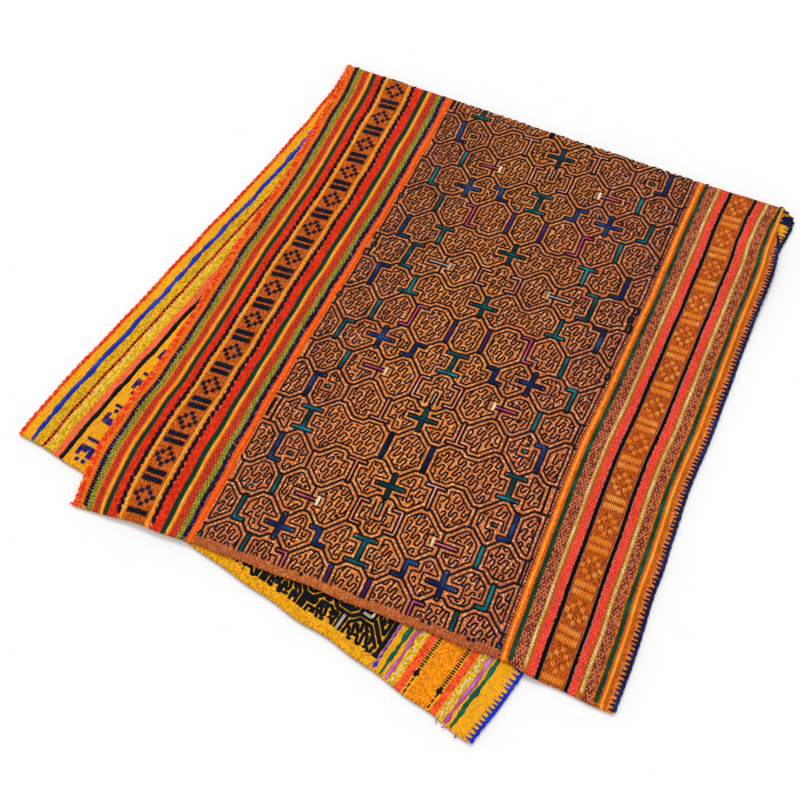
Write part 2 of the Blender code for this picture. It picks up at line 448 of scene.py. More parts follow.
def wovenGroup(look):
    # threads that cross as small cells: height for the bump, painted shade and random tone for the colour,
    # and four masks
    tree, given, made = startGroup(
        "wovenCells", (("Flat", None), ("Rib Pitch", 0.002), ("Pick Pitch", 0.0026), ("Contrast", 0.3),
                       ("Dash Pitch", 0.0052)), ("Height", "Shade", "Ticks", "Specks", "Glint Cells", "Dashes"))
    do = partial(calc, tree)
    flat = given["Flat"]
    across, along, _ = partsOf(tree, flat)
    bend = do("MULTIPLY", do("SUBTRACT", noiseOf(tree, flat, look["bendSize"]), 0.5), look["bend"])
    ribPlace = do("DIVIDE", do("ADD", across, bend), given["Rib Pitch"])
    rib = do("FLOOR", ribPlace)
    pickPlace = do("DIVIDE", do("ADD", along, bend), given["Pick Pitch"])
    pickPlace = do("MULTIPLY_ADD", rib, 0.5, pickPlace)
    pick = do("FLOOR", pickPlace)
    # each cell bulges in its middle; the bulge is the bump and also paints shade into the gaps between
    # threads
    curves = []
    for place, roundness in zip((ribPlace, pickPlace), look["bulge"]):
        side = do("SUBTRACT", do("FRACT", place), 0.5)
        curves.append(do("MULTIPLY_ADD", do("MULTIPLY", side, side), roundness, 1.0))
    bulge = do("MULTIPLY", *curves)
    cells = tree.nodes.new("ShaderNodeTexWhiteNoise")
    cells.noise_dimensions = "2D"
    feed(tree, cells.inputs["Vector"], vectorOf(tree, rib, pick))
    chance = cells.outputs["Value"]
    stretched = vectorOf(tree, do("MULTIPLY", across, look["streakStretch"]), along)
    streak = noiseOf(tree, stretched, look["streakSize"], 3.0)
    # painted shade from the bulge, then random tone per cell and dye streaks
    shade = do("MULTIPLY_ADD", bulge, *look["shade"])
    shade = do("MULTIPLY_ADD", do("SUBTRACT", chance, 0.5), given["Contrast"], shade)
    shade = do("MULTIPLY_ADD", do("SUBTRACT", streak, 0.5), 0.5, shade)
    # slanted lines of cells, scattered cells, scattered cells for the painted glints, and broken lines along
    # the warp
    turn = do("FRACT", do("MULTIPLY", do("ADD", pick, rib), 1 / 3))
    beat = do("SINE", do("MULTIPLY", do("DIVIDE", along, given["Dash Pitch"]), 2 * math.pi))
    ragged = do("MULTIPLY", noiseOf(tree, flat, look["raggedSize"]), 0.9)
    results = (bulge, shade, rangeOf(tree, do("MULTIPLY_ADD", chance, 0.55, turn), *look["ticks"], 1.0, 0.0),
               rangeOf(tree, chance, *look["specks"]), rangeOf(tree, chance, *look["glintCells"]),
               rangeOf(tree, do("ADD", beat, ragged), *look["dashes"]))
    for socket, result in zip(made, results):
        tree.links.new(result, socket)
    return tree


woven = wovenGroup(wovenLook)

# how much of the second colour shows as slanted ticks, as specks and as dashes
kinds = {"plain": (0.0, 0.0, 0.0), "ticks": (1.0, 0.0, 0.0), "fewTicks": (0.5, 0.0, 0.0),
         "specks": (0.0, 1.0, 0.0), "fewSpecks": (0.0, 0.45, 0.0), "dashes": (0.0, 0.0, 1.0)}
usualKind = "fewSpecks"

# width in millimetres, colour, second colour and, where it isn't the usual kind, how it shows;
# at most 32 stripes to a cloth
leftFace = (
    (6.0, "redOrange", "orange", "specks"), (6.0, "orange", "redOrange"),
    (5.0, "orange", "pinkSpeck", "ticks"), (8.0, "oliveGreen", "oliveShade", "ticks"),
    (1.5, "orange", "redOrange"), (8.0, "redBrown", "speckOrange", "fewTicks"),
    (1.5, "orange", "redOrange"), (1.2, "orange", "redOrange"), (2.2, "lineYellow", "orange", "plain"),
    (1.6, "deepOrange", "redOrange"), (6.0, "darkGreen", "black"),
    (10.0, "redOrange", "midRed", "fewTicks"), (5.0, "redOrange", "pinkSpeck"),
    (2.0, "amber", "deepOrange"), (1.8, "lineYellow", "orange", "plain"), (1.2, "amber", "deepOrange"),
    (31.0, "motifBrown", "motifShade", "fewTicks"), (1.2, "amber", "deepOrange"),
    (1.8, "lineYellow", "orange", "plain"), (2.0, "amber", "deepOrange"), (6.5, "redOrange", "pinkSpeck"),
    (11.5, "redOrange", "midRed", "fewTicks"), (6.0, "darkGreen", "black"),
    (1.6, "deepOrange", "redOrange"), (2.4, "lineYellow", "orange", "plain"),
    (2.0, "orange", "redOrange"), (10.0, "redBrown", "speckOrange", "fewTicks"),
    (6.0, "oliveGreen", "oliveShade", "ticks"), (7.5, "navy", "greySpeck", "specks"),
    (3.4, "brightOrange", "redOrange"), (1.2, "glowOrange", "brightOrange", "plain"),
    (3.9, "brightOrange", "redOrange"),
)
rightFace = (
    (3.0, "deepOrange", "brownOrange"), (3.0, "glowOrange", "orange", "plain"),
    (3.5, "deepOrange", "brownOrange"), (5.5, "brownOrange", "darkGreen", "ticks"),
    (12.5, "mauveBrown", "mauveShade", "ticks"), (4.5, "khakiGround", "brownOrange", "ticks"),
    (2.0, "brownOrange", "mauveShade"), (9.0, "coral", "coralPink", "fewTicks"),
    (0.6, "grey", "black", "specks"), (4.9, "black", "black", "plain"),
    (0.5, "grey", "brownOrange", "specks"), (27.5, "motifOrange", "motifShade", "fewTicks"),
    (0.5, "grey", "brownOrange", "specks"), (4.5, "black", "black", "plain"),
    (0.6, "grey", "black", "specks"), (8.9, "coral", "coralPink", "fewTicks"),
    (2.0, "brownOrange", "mauveShade"), (5.5, "khakiGround", "brownOrange", "ticks"),
    (9.5, "mauveBrown", "mauveShade", "ticks"), (3.0, "brownOrange", "orange"),
    (5.0, "brownOrange", "darkGreen", "ticks"), (2.5, "brownOrange", "motifOrange"),
    (4.0, "glowOrange", "amber"), (4.0, "brownOrange", "motifOrange"),
    (8.5, "rimOrange", "brownOrange", "fewTicks"),
)
leftReverse = (
    (4.5, "redOrange", "orange"), (12.5, "gold", "goldShade"), (5.5, "gold", "oliveDark", "fewTicks"),
    (13.5, "oliveYellow", "oliveDark", "fewTicks"), (4.5, "crimson", "gold", "dashes"),
    (10.5, "oliveYellow", "mustardLight"), (4.0, "oliveYellow", "oliveDark", "fewTicks"),
    (8.5, "salmon", "salmonShade"), (0.5, "gold", "goldShade"), (6.0, "black", "navy"),
    (37.0, "gold", "goldShade"), (6.0, "black", "navy"), (8.5, "salmon", "salmonShade"),
    (4.0, "oliveYellow", "oliveDark", "fewTicks"), (10.5, "oliveYellow", "mustardLight"),
    (4.5, "crimson", "gold", "dashes"), (13.5, "oliveYellow", "oliveDark", "fewTicks"),
    (5.5, "gold", "oliveDark", "fewTicks"), (5.5, "gold", "goldShade"),
)
rightReverse = (
    (18.0, "gold", "goldShade"), (5.0, "gold", "goldShade"), (10.0, "oliveYellow", "mustardLight"),
    (9.0, "coralBright", "redOrange", "fewTicks"), (6.0, "gold", "goldShade"),
    (27.0, "wideOrange", "wideShade", "fewTicks"), (5.0, "gold", "goldShade"),
    (8.5, "coralBright", "redOrange", "fewTicks"), (10.0, "oliveYellow", "mustardLight"),
    (5.5, "gold", "goldShade"), (31.0, "gold", "goldShade"),
)


def stripeRamp(tree, place, stripes, colours):
    node = tree.nodes.new("ShaderNodeValToRGB")
    ramp = node.color_ramp
    ramp.interpolation = "CONSTANT"
    ramp.elements.remove(ramp.elements[1])
    total = sum(stripe[0] for stripe in stripes)
    start = 0.0
    for number, (stripe, colour) in enumerate(zip(stripes, colours)):
        element = ramp.elements[0] if number == 0 else ramp.elements.new(start / total)
        element.position = start / total
        element.color = colour
        start += stripe[0]
    feed(tree, node.inputs["Fac"], place)
    return node.outputs["Color"]


def flatOf(tree):
    node = tree.nodes.new("ShaderNodeUVMap")
    node.uv_map = "flat"
    return node.outputs[0]


def shaded(tree, colour, shade):
    return blendColour(tree, 1.0, colour, vectorOf(tree, shade, shade, shade), "MULTIPLY")


stripeLook = {
    "straySize": 0.003,  # the edges of the stripes are ragged over this far
    "driftSize": 0.14,
    "drift": (0.93, 1.05),  # how much the dye's strength drifts
    "contrast": 0.62,
    "bump": (0.0005, 0.8),  # distance and strength
}


def stripedMaterial(name, stripes, firstLine, ragged=0.0006):
    look = stripeLook
    material, tree, shader = startMaterial(name, 0.9, 0.03, 0.07)
    do = partial(calc, tree)
    flat = flatOf(tree)
    width = sum(stripe[0] for stripe in stripes) / 1000
    stray = do("SUBTRACT", noiseOf(tree, flat, look["straySize"], 1.0), 0.5)
    place = do("SUBTRACT", partsOf(tree, flat)[0], firstLine)
    place = do("DIVIDE", do("MULTIPLY_ADD", stray, ragged * 2, place), width)
    first, second = [stripeRamp(tree, place, stripes, [linear(palette[stripe[part]]) for stripe in stripes])
                     for part in (1, 2)]
    shown = [(*kinds[(*stripe, usualKind)[3]], 1.0) for stripe in stripes]
    amounts = stripeRamp(tree, place, stripes, shown)
    threads = useGroup(tree, woven, Flat=flat, Contrast=look["contrast"])
    share = 0.0
    for amount, mask in zip(partsOf(tree, amounts), ("Ticks", "Specks", "Dashes")):
        share = do("MULTIPLY_ADD", amount, threads[mask], share)
    colour = blendColour(tree, share, first, second)
    # the colour takes the woven cells' painted shade and random tone, and the dye's drift
    drift = rangeOf(tree, noiseOf(tree, flat, look["driftSize"], 3.0), 0.3, 0.7, *look["drift"])
    colour = shaded(tree, colour, do("MULTIPLY", threads["Shade"], drift))
    tree.links.new(colour, shader.inputs["Base Color"])
    addBump(tree, shader, threads["Height"], *look["bump"])
    return material


groundLook = {
    "middle": 0.315,  # where across the cloth the dye is yellowest
    "cloudSize": 0.16,
    "clouds": 0.22,
    "toSide": (0.02, 0.12),  # from the middle, where the side colour comes in, and then the brown
    "toBrown": (0.13, 0.25),
    "hem": (0.722, 0.74),  # where along the cloth the turned hem comes in
    "hemShare": 0.62,
    "weave": {"Rib Pitch": 0.0015, "Pick Pitch": 0.0019, "Contrast": 0.6},
    # the pale threads are painted glints: their change at the hem and their share elsewhere
    "glints": (-0.34, 0.42),  # change of the pale threads at the hem, and their share elsewhere
    "darkShare": 0.34,
    # place and strength of the change from darker to lighter, along and across the cloth
    "lighterAlong": (0.05, 0.6, 0.9, 1.12),
    "lighterAcross": (0.17, 0.3, 0.9, 1.0),
    "bump": (0.0004, 0.8),
}


def groundMaterial(name, *colours):
    # the dyed centre: a yellower middle, browner towards the sides, with dark threads and painted pale glints
    look = groundLook
    middleColour, sideColour, brown, pale, dark, hemColour = [linear(palette[colour]) for colour in colours]
    material, tree, shader = startMaterial(name, 0.92, 0.02, 0.06)
    do = partial(calc, tree)
    flat = flatOf(tree)
    across, along, _ = partsOf(tree, flat)
    middle = do("ABSOLUTE", do("SUBTRACT", across, look["middle"]))
    clouds = noiseOf(tree, flat, look["cloudSize"], 3.0, 0.6)
    side = do("MULTIPLY_ADD", do("SUBTRACT", clouds, 0.5), look["clouds"], middle)
    colour = blendColour(tree, rangeOf(tree, side, *look["toSide"]), middleColour, sideColour)
    colour = blendColour(tree, rangeOf(tree, side, *look["toBrown"]), colour, brown)
    # the turned hem is darker, with fewer painted glints
    hem = rangeOf(tree, do("ABSOLUTE", along), *look["hem"])
    colour = blendColour(tree, do("MULTIPLY", hem, look["hemShare"]), colour, hemColour)
    threads = useGroup(tree, woven, Flat=flat, **look["weave"])
    # painted glints: pale highlights on scattered thread cells
    glints = do("MULTIPLY", threads["Glint Cells"], do("MULTIPLY_ADD", hem, *look["glints"]))
    colour = blendColour(tree, glints, colour, pale)
    colour = blendColour(tree, do("MULTIPLY", threads["Ticks"], look["darkShare"]), colour, dark)
    # the woven cells' painted shade and tone, made darker near the fold and the left seam and lighter towards
    # the hem
    paintedLightAndTone = do("MULTIPLY", threads["Shade"], rangeOf(tree, along, *look["lighterAlong"]))
    paintedLightAndTone = do("MULTIPLY", paintedLightAndTone, rangeOf(tree, across, *look["lighterAcross"]))
    tree.links.new(shaded(tree, colour, paintedLightAndTone), shader.inputs["Base Color"])
    addBump(tree, shader, threads["Height"], *look["bump"])
    return material


# the three sheets
sheetLook = {
    "columnStep": 0.0045,
    "ridgeStep": 0.0012,
    "rowStep": 0.0065,
    "hemStep": 0.0022,
    "foldSteps": 18,
    "ridgeHeight": 0.0008,  # the raised stripes that cover the seams
    "ridgeWidth": 0.009,
    "rimDrop": 0.0006,  # the outer edges are pressed thinner by their stitches
    "rimWidth": 0.0025,
    "rimColumns": (0.0008, 0.0018, 0.003),
    "nearFold": (0.0, 0.001, 0.003, 0.006, 0.01, 0.015, 0.02),
    "hemRows": 0.03,  # how far from the end the rows are close together
    "sharpAngle": 50,
}
ridges = ((edgeLines[1], -1), (edgeLines[2], 1))  # seam, and the side on which its ridge lies


def alongRows(look, layerLength):
    near = np.array(look["nearFold"])
    hem = layerLength - np.arange(look["hemRows"], -1e-9, -look["hemStep"])
    steps = int((hem[0] - near[-1]) / look["rowStep"])
    plain = np.linspace(near[-1], hem[0], steps + 1)[1:-1]
    return np.concatenate([near, plain, hem, [layerLength]]) / layerLength


def sheetRelief(look, u, v):
    lift = np.zeros_like(u)
    for seam, side in ridges:
        share = (u - seam) * side / look["ridgeWidth"]
        inside = (share >= 0) & (share <= 1)
        lift += np.where(inside, look["ridgeHeight"] * np.sin(math.pi * np.clip(share, 0, 1)) ** 0.7, 0)
    rim = np.minimum(u, edgeLines[-1] - u)
    lift -= look["rimDrop"] * (1 - ease(rim / look["rimWidth"]))
    return lift


def clothSheet(name, start, end, thickness, hasHem, faceMaterial, reverseMaterial):
    look = sheetLook
    columns = list(np.linspace(start, end, int(round((end - start) / look["columnStep"])) + 1))
    for seam, side in ridges:
        low, high = sorted((seam, seam + side * look["ridgeWidth"]))
        if low >= start - 0.001 and high <= end + 0.001:
            columns = [spot for spot in columns if not low + 0.0005 < spot < high - 0.0005]
            columns += list(np.arange(low + look["ridgeStep"], high - 0.0002, look["ridgeStep"]))
    for edge, side in ((edgeLines[0], 1), (edgeLines[-1], -1)):
        if abs(edge - start) < 1e-6 or abs(edge - end) < 1e-6:
            columns += [edge + side * away for away in look["rimColumns"]]
    columns = np.unique(np.round(columns, 6))
    half = cloth["halfLength"]
    rows = alongRows(look, half)
    turns = np.linspace(-1, 1, look["foldSteps"] + 1)[1:-1]
    crest = crestAt(columns)
    places = [crest - quarterTurn - share * (half + crest - quarterTurn) for share in rows[::-1]]
    places += [crest + quarterTurn * turn for turn in turns]
    places += [crest + quarterTurn + share * (half - crest - quarterTurn) for share in rows]
    vGrid = np.array(places)
    uGrid = np.broadcast_to(columns, vGrid.shape)
    u, v = uGrid.ravel(), vGrid.ravel()
    normal = clothNormal(u, v)
    base = clothPlace(u, v)
    outer = base + normal * sheetRelief(look, u, v)[:, None]
    depth = np.full(len(u), thickness)
    if hasHem:
        fromEnd = half - np.abs(v)
        depth += cloth["hemExtra"] * np.clip((cloth["hemDepth"] - fromEnd) / cloth["hemStep"], 0, 1)
    rim = np.minimum(u, edgeLines[-1] - u)
    depth -= look["rimDrop"] * 0.6 * (1 - ease(rim / look["rimWidth"]))
    inner = base - normal * depth[:, None]
    rowCount, columnCount = vGrid.shape
    count = rowCount * columnCount
    index = np.arange(count).reshape(rowCount, columnCount)
    quads = np.stack([index[:-1, :-1], index[:-1, 1:], index[1:, 1:], index[1:, :-1]], -1).reshape(-1, 4)
    faces = [quads, quads[:, ::-1] + count]
    for line in (index[:, 0], index[::-1, -1], index[-1, :], index[0, ::-1]):
        faces.append(np.stack([line[:-1], line[1:], line[1:] + count, line[:-1] + count], 1))
    mesh = bpy.data.meshes.new(name)
    mesh.from_pydata(np.vstack([outer, inner]).tolist(), [], np.vstack(faces).tolist())
    flat = mesh.uv_layers.new(name="flat")
    corners = np.empty(len(mesh.loops), dtype=np.int32)
    mesh.loops.foreach_get("vertex_index", corners)
    corners %= count
    flat.data.foreach_set("uv", np.stack([u[corners], v[corners]], 1).astype(np.float32).ravel())
    for material in (faceMaterial, reverseMaterial):
        mesh.materials.append(material)
    sides = np.zeros(len(mesh.polygons), dtype=np.int32)
    sides[len(quads):2 * len(quads)] = 1
    mesh.polygons.foreach_set("material_index", sides)
    shape = bmesh.new()
    shape.from_mesh(mesh)
    bmesh.ops.recalc_face_normals(shape, faces=shape.faces)
    shape.to_mesh(mesh)
    shape.free()
    mesh.shade_smooth()
    mesh.set_sharp_from_angle(angle=math.radians(look["sharpAngle"]))
    piece = bpy.data.objects.new(name, mesh)
    scene.collection.objects.link(piece)
    print(name, "has", len(mesh.polygons) * 2, "triangles")
    return piece


halfGap = cloth["seamGap"] / 2
leftSheet = clothSheet("leftBandCloth", edgeLines[0], edgeLines[1] - halfGap, cloth["bandThickness"], False,
                       stripedMaterial("leftBandFace", leftFace, edgeLines[0]),
                       stripedMaterial("leftBandReverse", leftReverse, edgeLines[0], 0.0009))
groundFace = groundMaterial("centreFace", "groundYellow", "ground", "groundBrown", "groundPale", "groundRed",
                            "groundHem")
groundReverse = groundMaterial("centreReverse", "gold", "gold", "gold", "mustardLight", "goldShade", "gold")
centreSheet = clothSheet("centreCloth", edgeLines[1] + halfGap, edgeLines[2] - halfGap,
                         cloth["centreThickness"], True, groundFace, groundReverse)
rightSheet = clothSheet("rightBandCloth", edgeLines[2] + halfGap, edgeLines[3], cloth["bandThickness"], False,
                        stripedMaterial("rightBandFace", rightFace, edgeLines[2]),
                        stripedMaterial("rightBandReverse", rightReverse, edgeLines[2], 0.0009))


# thread: a raised line of yarn along every path of a piece
threadLook = {"strayScale": 160.0, "strayShare": (2.0, 2.0, 0.3)}


def threadTree(look):
    tree = bpy.data.node_groups.new("threadAlongPath", "GeometryNodeTree")
    sockets = (("Paths", "Geometry", None), ("Width", "Float", 0.0017), ("Height", "Float", 0.001),
               ("Sides", "Int", 4), ("Wobble", "Float", 0.0), ("Seed", "Int", 1), ("Round", "Bool", False),
               ("Yarn", "Material", None))
    for label, kind, value in sockets:
        socket = tree.interface.new_socket(label, in_out="INPUT", socket_type="NodeSocket" + kind)
        if value is not None:
            socket.default_value = value
    tree.interface.new_socket("Thread", in_out="OUTPUT", socket_type="NodeSocketGeometry")

    def add(kind, wires=(), output=0, **settings):
        # wires say what feeds each input: another node's output or a plain value
        node = tree.nodes.new(kind)
        for name, value in settings.items():
            setattr(node, name, value)
        for name, value in dict(wires).items():
            feed(tree, node.inputs[name], value)
        return node.outputs[output] if len(node.outputs) else None

    def vectorMath(operation, wires):
        return add("ShaderNodeVectorMath", wires, operation=operation)

    given = tree.nodes.new("NodeGroupInput").outputs
    curves = add("GeometryNodeMeshToCurve", {"Mesh": given["Paths"]})
    # a hand-sewn line strays a little sideways
    spot = vectorMath("ADD", {0: add("GeometryNodeInputPosition"), 1: given["Seed"]})
    stray = add("ShaderNodeTexNoise", {"Vector": spot, "Scale": look["strayScale"]}, "Color")
    stray = vectorMath("SUBTRACT", {0: stray, 1: (0.5, 0.5, 0.5)})
    stray = vectorMath("SCALE", {0: stray, "Scale": given["Wobble"]})
    stray = vectorMath("MULTIPLY", {0: stray, 1: look["strayShare"]})
    moved = add("GeometryNodeSetPosition", {"Geometry": curves, "Offset": stray})
    upright = add("GeometryNodeSetCurveNormal", {"Curve": moved}, mode="Z_UP")
    free = add("GeometryNodeSetCurveNormal", {"Curve": moved}, mode="MINIMUM_TWIST")
    turned = add("GeometryNodeSwitch", {"Switch": given["Round"], "False": upright, "True": free},
                 input_type="GEOMETRY")
    # metres along the line, kept for the yarn's twist
    along = add("GeometryNodeSplineParameter", output="Length")
    measured = add("GeometryNodeStoreNamedAttribute",
                   {"Name": "threadAlong", "Geometry": turned, "Value": along},
                   data_type="FLOAT", domain="POINT")
    circle = add("GeometryNodeCurvePrimitiveCircle", {"Radius": 0.5, "Resolution": given["Sides"]},
                 mode="RADIUS")
    size = add("ShaderNodeCombineXYZ", {"X": given["Width"], "Y": given["Height"], "Z": 1.0})
    pressed = add("GeometryNodeTransform", {"Geometry": circle, "Scale": size})
    share = add("GeometryNodeInputNamedAttribute", {"Name": "share"}, data_type="FLOAT")
    swept = add("GeometryNodeCurveToMesh",
                {"Curve": measured, "Profile Curve": pressed, "Scale": share, "Fill Caps": True})
    smooth = add("GeometryNodeSetShadeSmooth", {"Geometry": swept})
    solid = add("GeometryNodeRealizeInstances", {"Geometry": smooth})
    dyed = add("GeometryNodeSetMaterial", {"Geometry": solid, "Material": given["Yarn"]})
    add("NodeGroupOutput", {"Thread": dyed})
    return tree


threadPath = threadTree(threadLook)


def sewThreads(name, paths, material, width, height, sides=4, wobble=0.0, seed=1, roundYarn=False):
    # paths are arrays of u, v, lift and, where it changes, the share of the full width;
    # each has a flag that says if it closes on itself
    points, links, sizes = [], [], []
    start = 0
    for path, closed in paths:
        count = len(path)
        points.append(path[:, :3])
        links += [(start + step, start + step + 1) for step in range(count - 1)]
        if closed:
            links.append((start + count - 1, start))
        sizes.append(path[:, 3] if path.shape[1] > 3 else np.ones(count))
        start += count
    mesh = bpy.data.meshes.new(name + "Paths")
    mesh.from_pydata(onCloth(np.vstack(points)).tolist(), links, [])
    share = mesh.attributes.new("share", "FLOAT", "POINT")
    share.data.foreach_set("value", np.concatenate(sizes).astype(np.float32))
    host = bpy.data.objects.new(name + "Paths", mesh)
    scene.collection.objects.link(host)
    modifier = host.modifiers.new("thread", "NODES")
    modifier.node_group = threadPath
    values = {"Width": width, "Height": height, "Sides": sides, "Wobble": wobble, "Seed": seed,
              "Round": roundYarn, "Yarn": material}
    for item in threadPath.interface.items_tree:
        if item.item_type == "SOCKET" and item.in_out == "INPUT" and item.name in values:
            modifier[item.identifier] = values[item.name]
    view = bpy.context.evaluated_depsgraph_get()
    plain = bpy.data.meshes.new_from_object(host.evaluated_get(view), preserve_all_data_layers=True,
                                            depsgraph=view)
    plain.name = name
    host.modifiers.remove(modifier)
    bpy.data.objects.remove(host, do_unlink=True)
    piece = bpy.data.objects.new(name, plain)
    scene.collection.objects.link(piece)
    plain.calc_loop_triangles()
    print(name, "has", len(plain.loop_triangles), "triangles")
    return piece


yarnLook = {
    "twistPitch": 0.0016,
    "fibreSize": 0.0012,
    "highlightAndWear": (0.42, 0.7),
    "bump": (0.0003, 0.6),
    # colour, lighter colour painted in patches as highlight and wear and, where it isn't the usual one, the
    # size of these patches
    "yarns": {
        "dark": ((9, 9, 18), (20, 24, 48)), "navy": ((12, 28, 84), (30, 78, 140)),
        "teal": ((4, 84, 92), (24, 150, 150)), "purple": ((66, 22, 100), (110, 40, 130)),
        "pink": ((214, 56, 120), (240, 110, 110)), "white": ((232, 220, 200), (246, 234, 210)),
        "peach": ((244, 128, 96), (255, 190, 160)), "cream": ((238, 216, 150), (250, 236, 190)),
        "redOrange": ((246, 54, 10), (255, 150, 56), 0.006), "edgeNavy": ((9, 18, 62), (24, 42, 98)),
        "royal": ((16, 44, 176), (30, 70, 210)), "orange": ((250, 110, 24), (255, 160, 60)),
        "motifNavy": ((5, 6, 24), (12, 24, 58)), "motifGlow": ((250, 142, 36), (255, 176, 84)),
        "reversePurple": ((34, 18, 104), (60, 34, 140)), "violet": ((40, 24, 48), (80, 60, 100)),
        "black": ((8, 7, 12), (20, 18, 30)), "green": ((2, 62, 40), (12, 92, 66)),
        "khaki": ((230, 192, 102), (250, 234, 158)), "pale": ((236, 190, 150), (255, 230, 200)),
        "brightYellow": ((255, 226, 90), (255, 246, 190)), "crimson": ((196, 26, 50), (226, 60, 60)),
        "lilac": ((182, 80, 160), (216, 132, 198)), "hem": ((170, 90, 30), (110, 56, 24)),
        "pine": ((0, 86, 70), (14, 120, 98)), "deepNavy": ((10, 9, 38), (26, 22, 78)),
        "lineGold": ((255, 176, 30), (255, 206, 86)), "glow": ((255, 144, 30), (255, 170, 56)),
    },
}


def yarnMaterial(look, name, colour, lighter, patchSize=0.02):
    material, tree, shader = startMaterial(name, 0.7, 0.02, 0.12)
    do = partial(calc, tree)
    along = tree.nodes.new("ShaderNodeAttribute")
    along.attribute_name = "threadAlong"
    place = tree.nodes.new("ShaderNodeTexCoord").outputs["Object"]
    twist = do("SINE", do("MULTIPLY", along.outputs["Fac"], 2 * math.pi / look["twistPitch"]))
    fibres = noiseOf(tree, place, look["fibreSize"])
    # patches of the lighter colour: painted highlight on the yarn, and wear
    paintedLightAndTone = rangeOf(tree, noiseOf(tree, place, patchSize), *look["highlightAndWear"])
    mixed = blendColour(tree, paintedLightAndTone, linear(colour), linear(lighter))
    # the twist is painted as faint bands of light and shade along the yarn, as well as bumped
    shade = do("MULTIPLY_ADD", twist, 0.1, do("MULTIPLY_ADD", fibres, 0.5, 0.75))
    tree.links.new(shaded(tree, mixed, shade), shader.inputs["Base Color"])
    addBump(tree, shader, do("MULTIPLY_ADD", twist, 0.5, fibres), *look["bump"])
    return material


yarn = {name: yarnMaterial(yarnLook, name + "Thread", *details)
        for name, details in yarnLook["yarns"].items()}
pieces = {"left_band": [], "centre_panel": [], "right_band": []}
print("dyed", len(yarn), "yarns")


def asPairs(lines):
    # each line with a flag that says if it closes on itself; a plain path is open
    return [line if isinstance(line, tuple) else (line, False) for line in lines]


def addSewing(node, name, lines, colour, *sizes, **settings):
    if lines:
        pieces[node].append(sewThreads(name, asPairs(lines), yarn[colour], *sizes, **settings))


def stretches(flags):
    # first place of each run of true flags, and the place after its last
    return np.nonzero(np.diff(np.concatenate([[0], flags.astype(int), [0]])))[0].reshape(-1, 2)


def strides(pick, start, end, pitch, low, high):
    # places along a line, about a pitch apart
    spot = start
    while spot < end:
        yield spot
        spot += pitch * pick.uniform(low, high)


def withLift(points, lift, *more):
    # adds the lift from the cloth and, where it is given, the share of the full width
    return np.column_stack([points, np.full(len(points), lift), *more])


# the maze of the centre: thick lines that wall off cells, thin lines beside them and a meandering filling
# one corner is charted, mirrored about the middle and repeated along the cloth
mazeLook = {
    "unit": 0.0075,  # one step of the chart
    "halfWidth": 0.18,  # seam to middle line
    "repeatRows": 6,  # rows of cells between two mirror lines
    "rowHeight": 6.1,  # steps
    "cellPitch": 6.6,  # steps
    "jitter": 0.45,
    "spurShare": 0.45,
    "boneWidth": 0.0031,
    "lineWidth": 0.0023,
    "rimWidth": 0.0028,  # the dark thread round a coloured mark
    "threadHeight": 0.001,
    "outlineGap": 0.0039,  # from a thick line's edge to the middle of the thin line
    "fillerGap": 0.0025,  # from the thin line to the filling
    "plainHem": 0.01,
    "squareShare": 0.45,  # walls that hold a small dark square
    "gridStep": 0.00075,
    "seed": 4,
    "seamMargin": 0.0012,  # bare cloth beside the seams
    "besideSeam": 0.0022,  # to the thick line that runs along the right seam
    "besideShare": 0.75,  # its width as a share of the others'
    "leftWall": 0.002,  # the left seam acts as a thick line this far outside the field
    "rimReach": 0.006,
    "wobble": 0.0005,
    # how far each kind of thread lies above the cloth
    "lifts": {"wallThreads": 0.00035, "rimThreads": 0.00035, "lineThreads": 0.00028, "fillThreads": 0.00025},
    "coreLift": 0.00045,
    "leafLift": 0.0006,
    # the rest is in steps of the chart
    "rowStray": 0.3,
    "levelSteps": (0.5, 1.0, 1.5),
    "flatShares": (0.35, 0.5, 0.65),
    "spurRoom": 1.1,
    "spur": (1.3, 0.9),
    "squareGap": 0.4,
    "squareHalf": 0.16,
    "crossArm": 2.1,
    "barInset": 0.3,
    "leafStem": (2.4, 1.2),
    "leafHalf": 1.0,
    "dotHalf": 0.2,
    "crossTail": 3.0,
    "tailMark": (1.2, 3.2),
    "armLength": (1.6, 1.4, 1.9),  # usual, least and most
}
# row, wall counted from the middle line, kind and colour
wallMarks = (
    (0, 0, "bar", "navy"), (0, 1, "none", ""), (0, 2, "zed", "teal"),
    (1, 0, "tailCross", "teal"), (1, 1, "tee", "peach"), (1, 2, "dot", "teal"), (1, 3, "ell", "navy"),
    (2, 0, "bracket", "peach"), (2, 1, "leaf", "pink"), (2, 2, "bar", "teal"),
    (3, 0, "aitch", "teal"), (3, 1, "zed", "navy"), (3, 2, "cross", "navy"), (3, 3, "ell", "teal"),
    (4, 0, "bar", "purple"), (4, 1, "zed", "pink"), (4, 2, "bar", "teal"),
    (5, 0, "cross", "teal"), (5, 1, "none", ""), (5, 2, "tee", "teal"), (5, 3, "ell", "navy"),
    (6, 0, "ell", "peach"), (6, 1, "leaf", "white"), (6, 2, "bracket", "teal"),
)
# full width of a mark with its dark rim, width of its coloured core and how many lines fill that
markWidths = {"navy": (0.0078, 0.004, 2), "teal": (0.0076, 0.0032, 2), "purple": (0.0074, 0.003, 2),
              "white": (0.0074, 0.0018, 1), "peach": (0.0074, 0.0018, 1), "pink": (0.0074, 0.0019, 1),
              "square": (0.0072, 0.0022, 1), "dot": (0.007, 0.0026, 2), "tail": (0.0066, 0.0018, 1)}


def wallSpots(look, pick):
    middle = look["halfWidth"] / look["unit"]
    rows = []
    for row in range(look["repeatRows"] + 1):
        offset = 0.5 if row % 2 == 0 else 0.0
        spots, number = [], 0
        while (number + offset) * look["cellPitch"] <= middle + look["cellPitch"]:
            away = (number + offset) * look["cellPitch"]
            stray = 0 if away == 0 else pick.uniform(-1, 1) * look["jitter"]
            spots.append(middle - round((away + stray) * 2) / 2)
            number += 1
        rows.append(spots)
    return rows


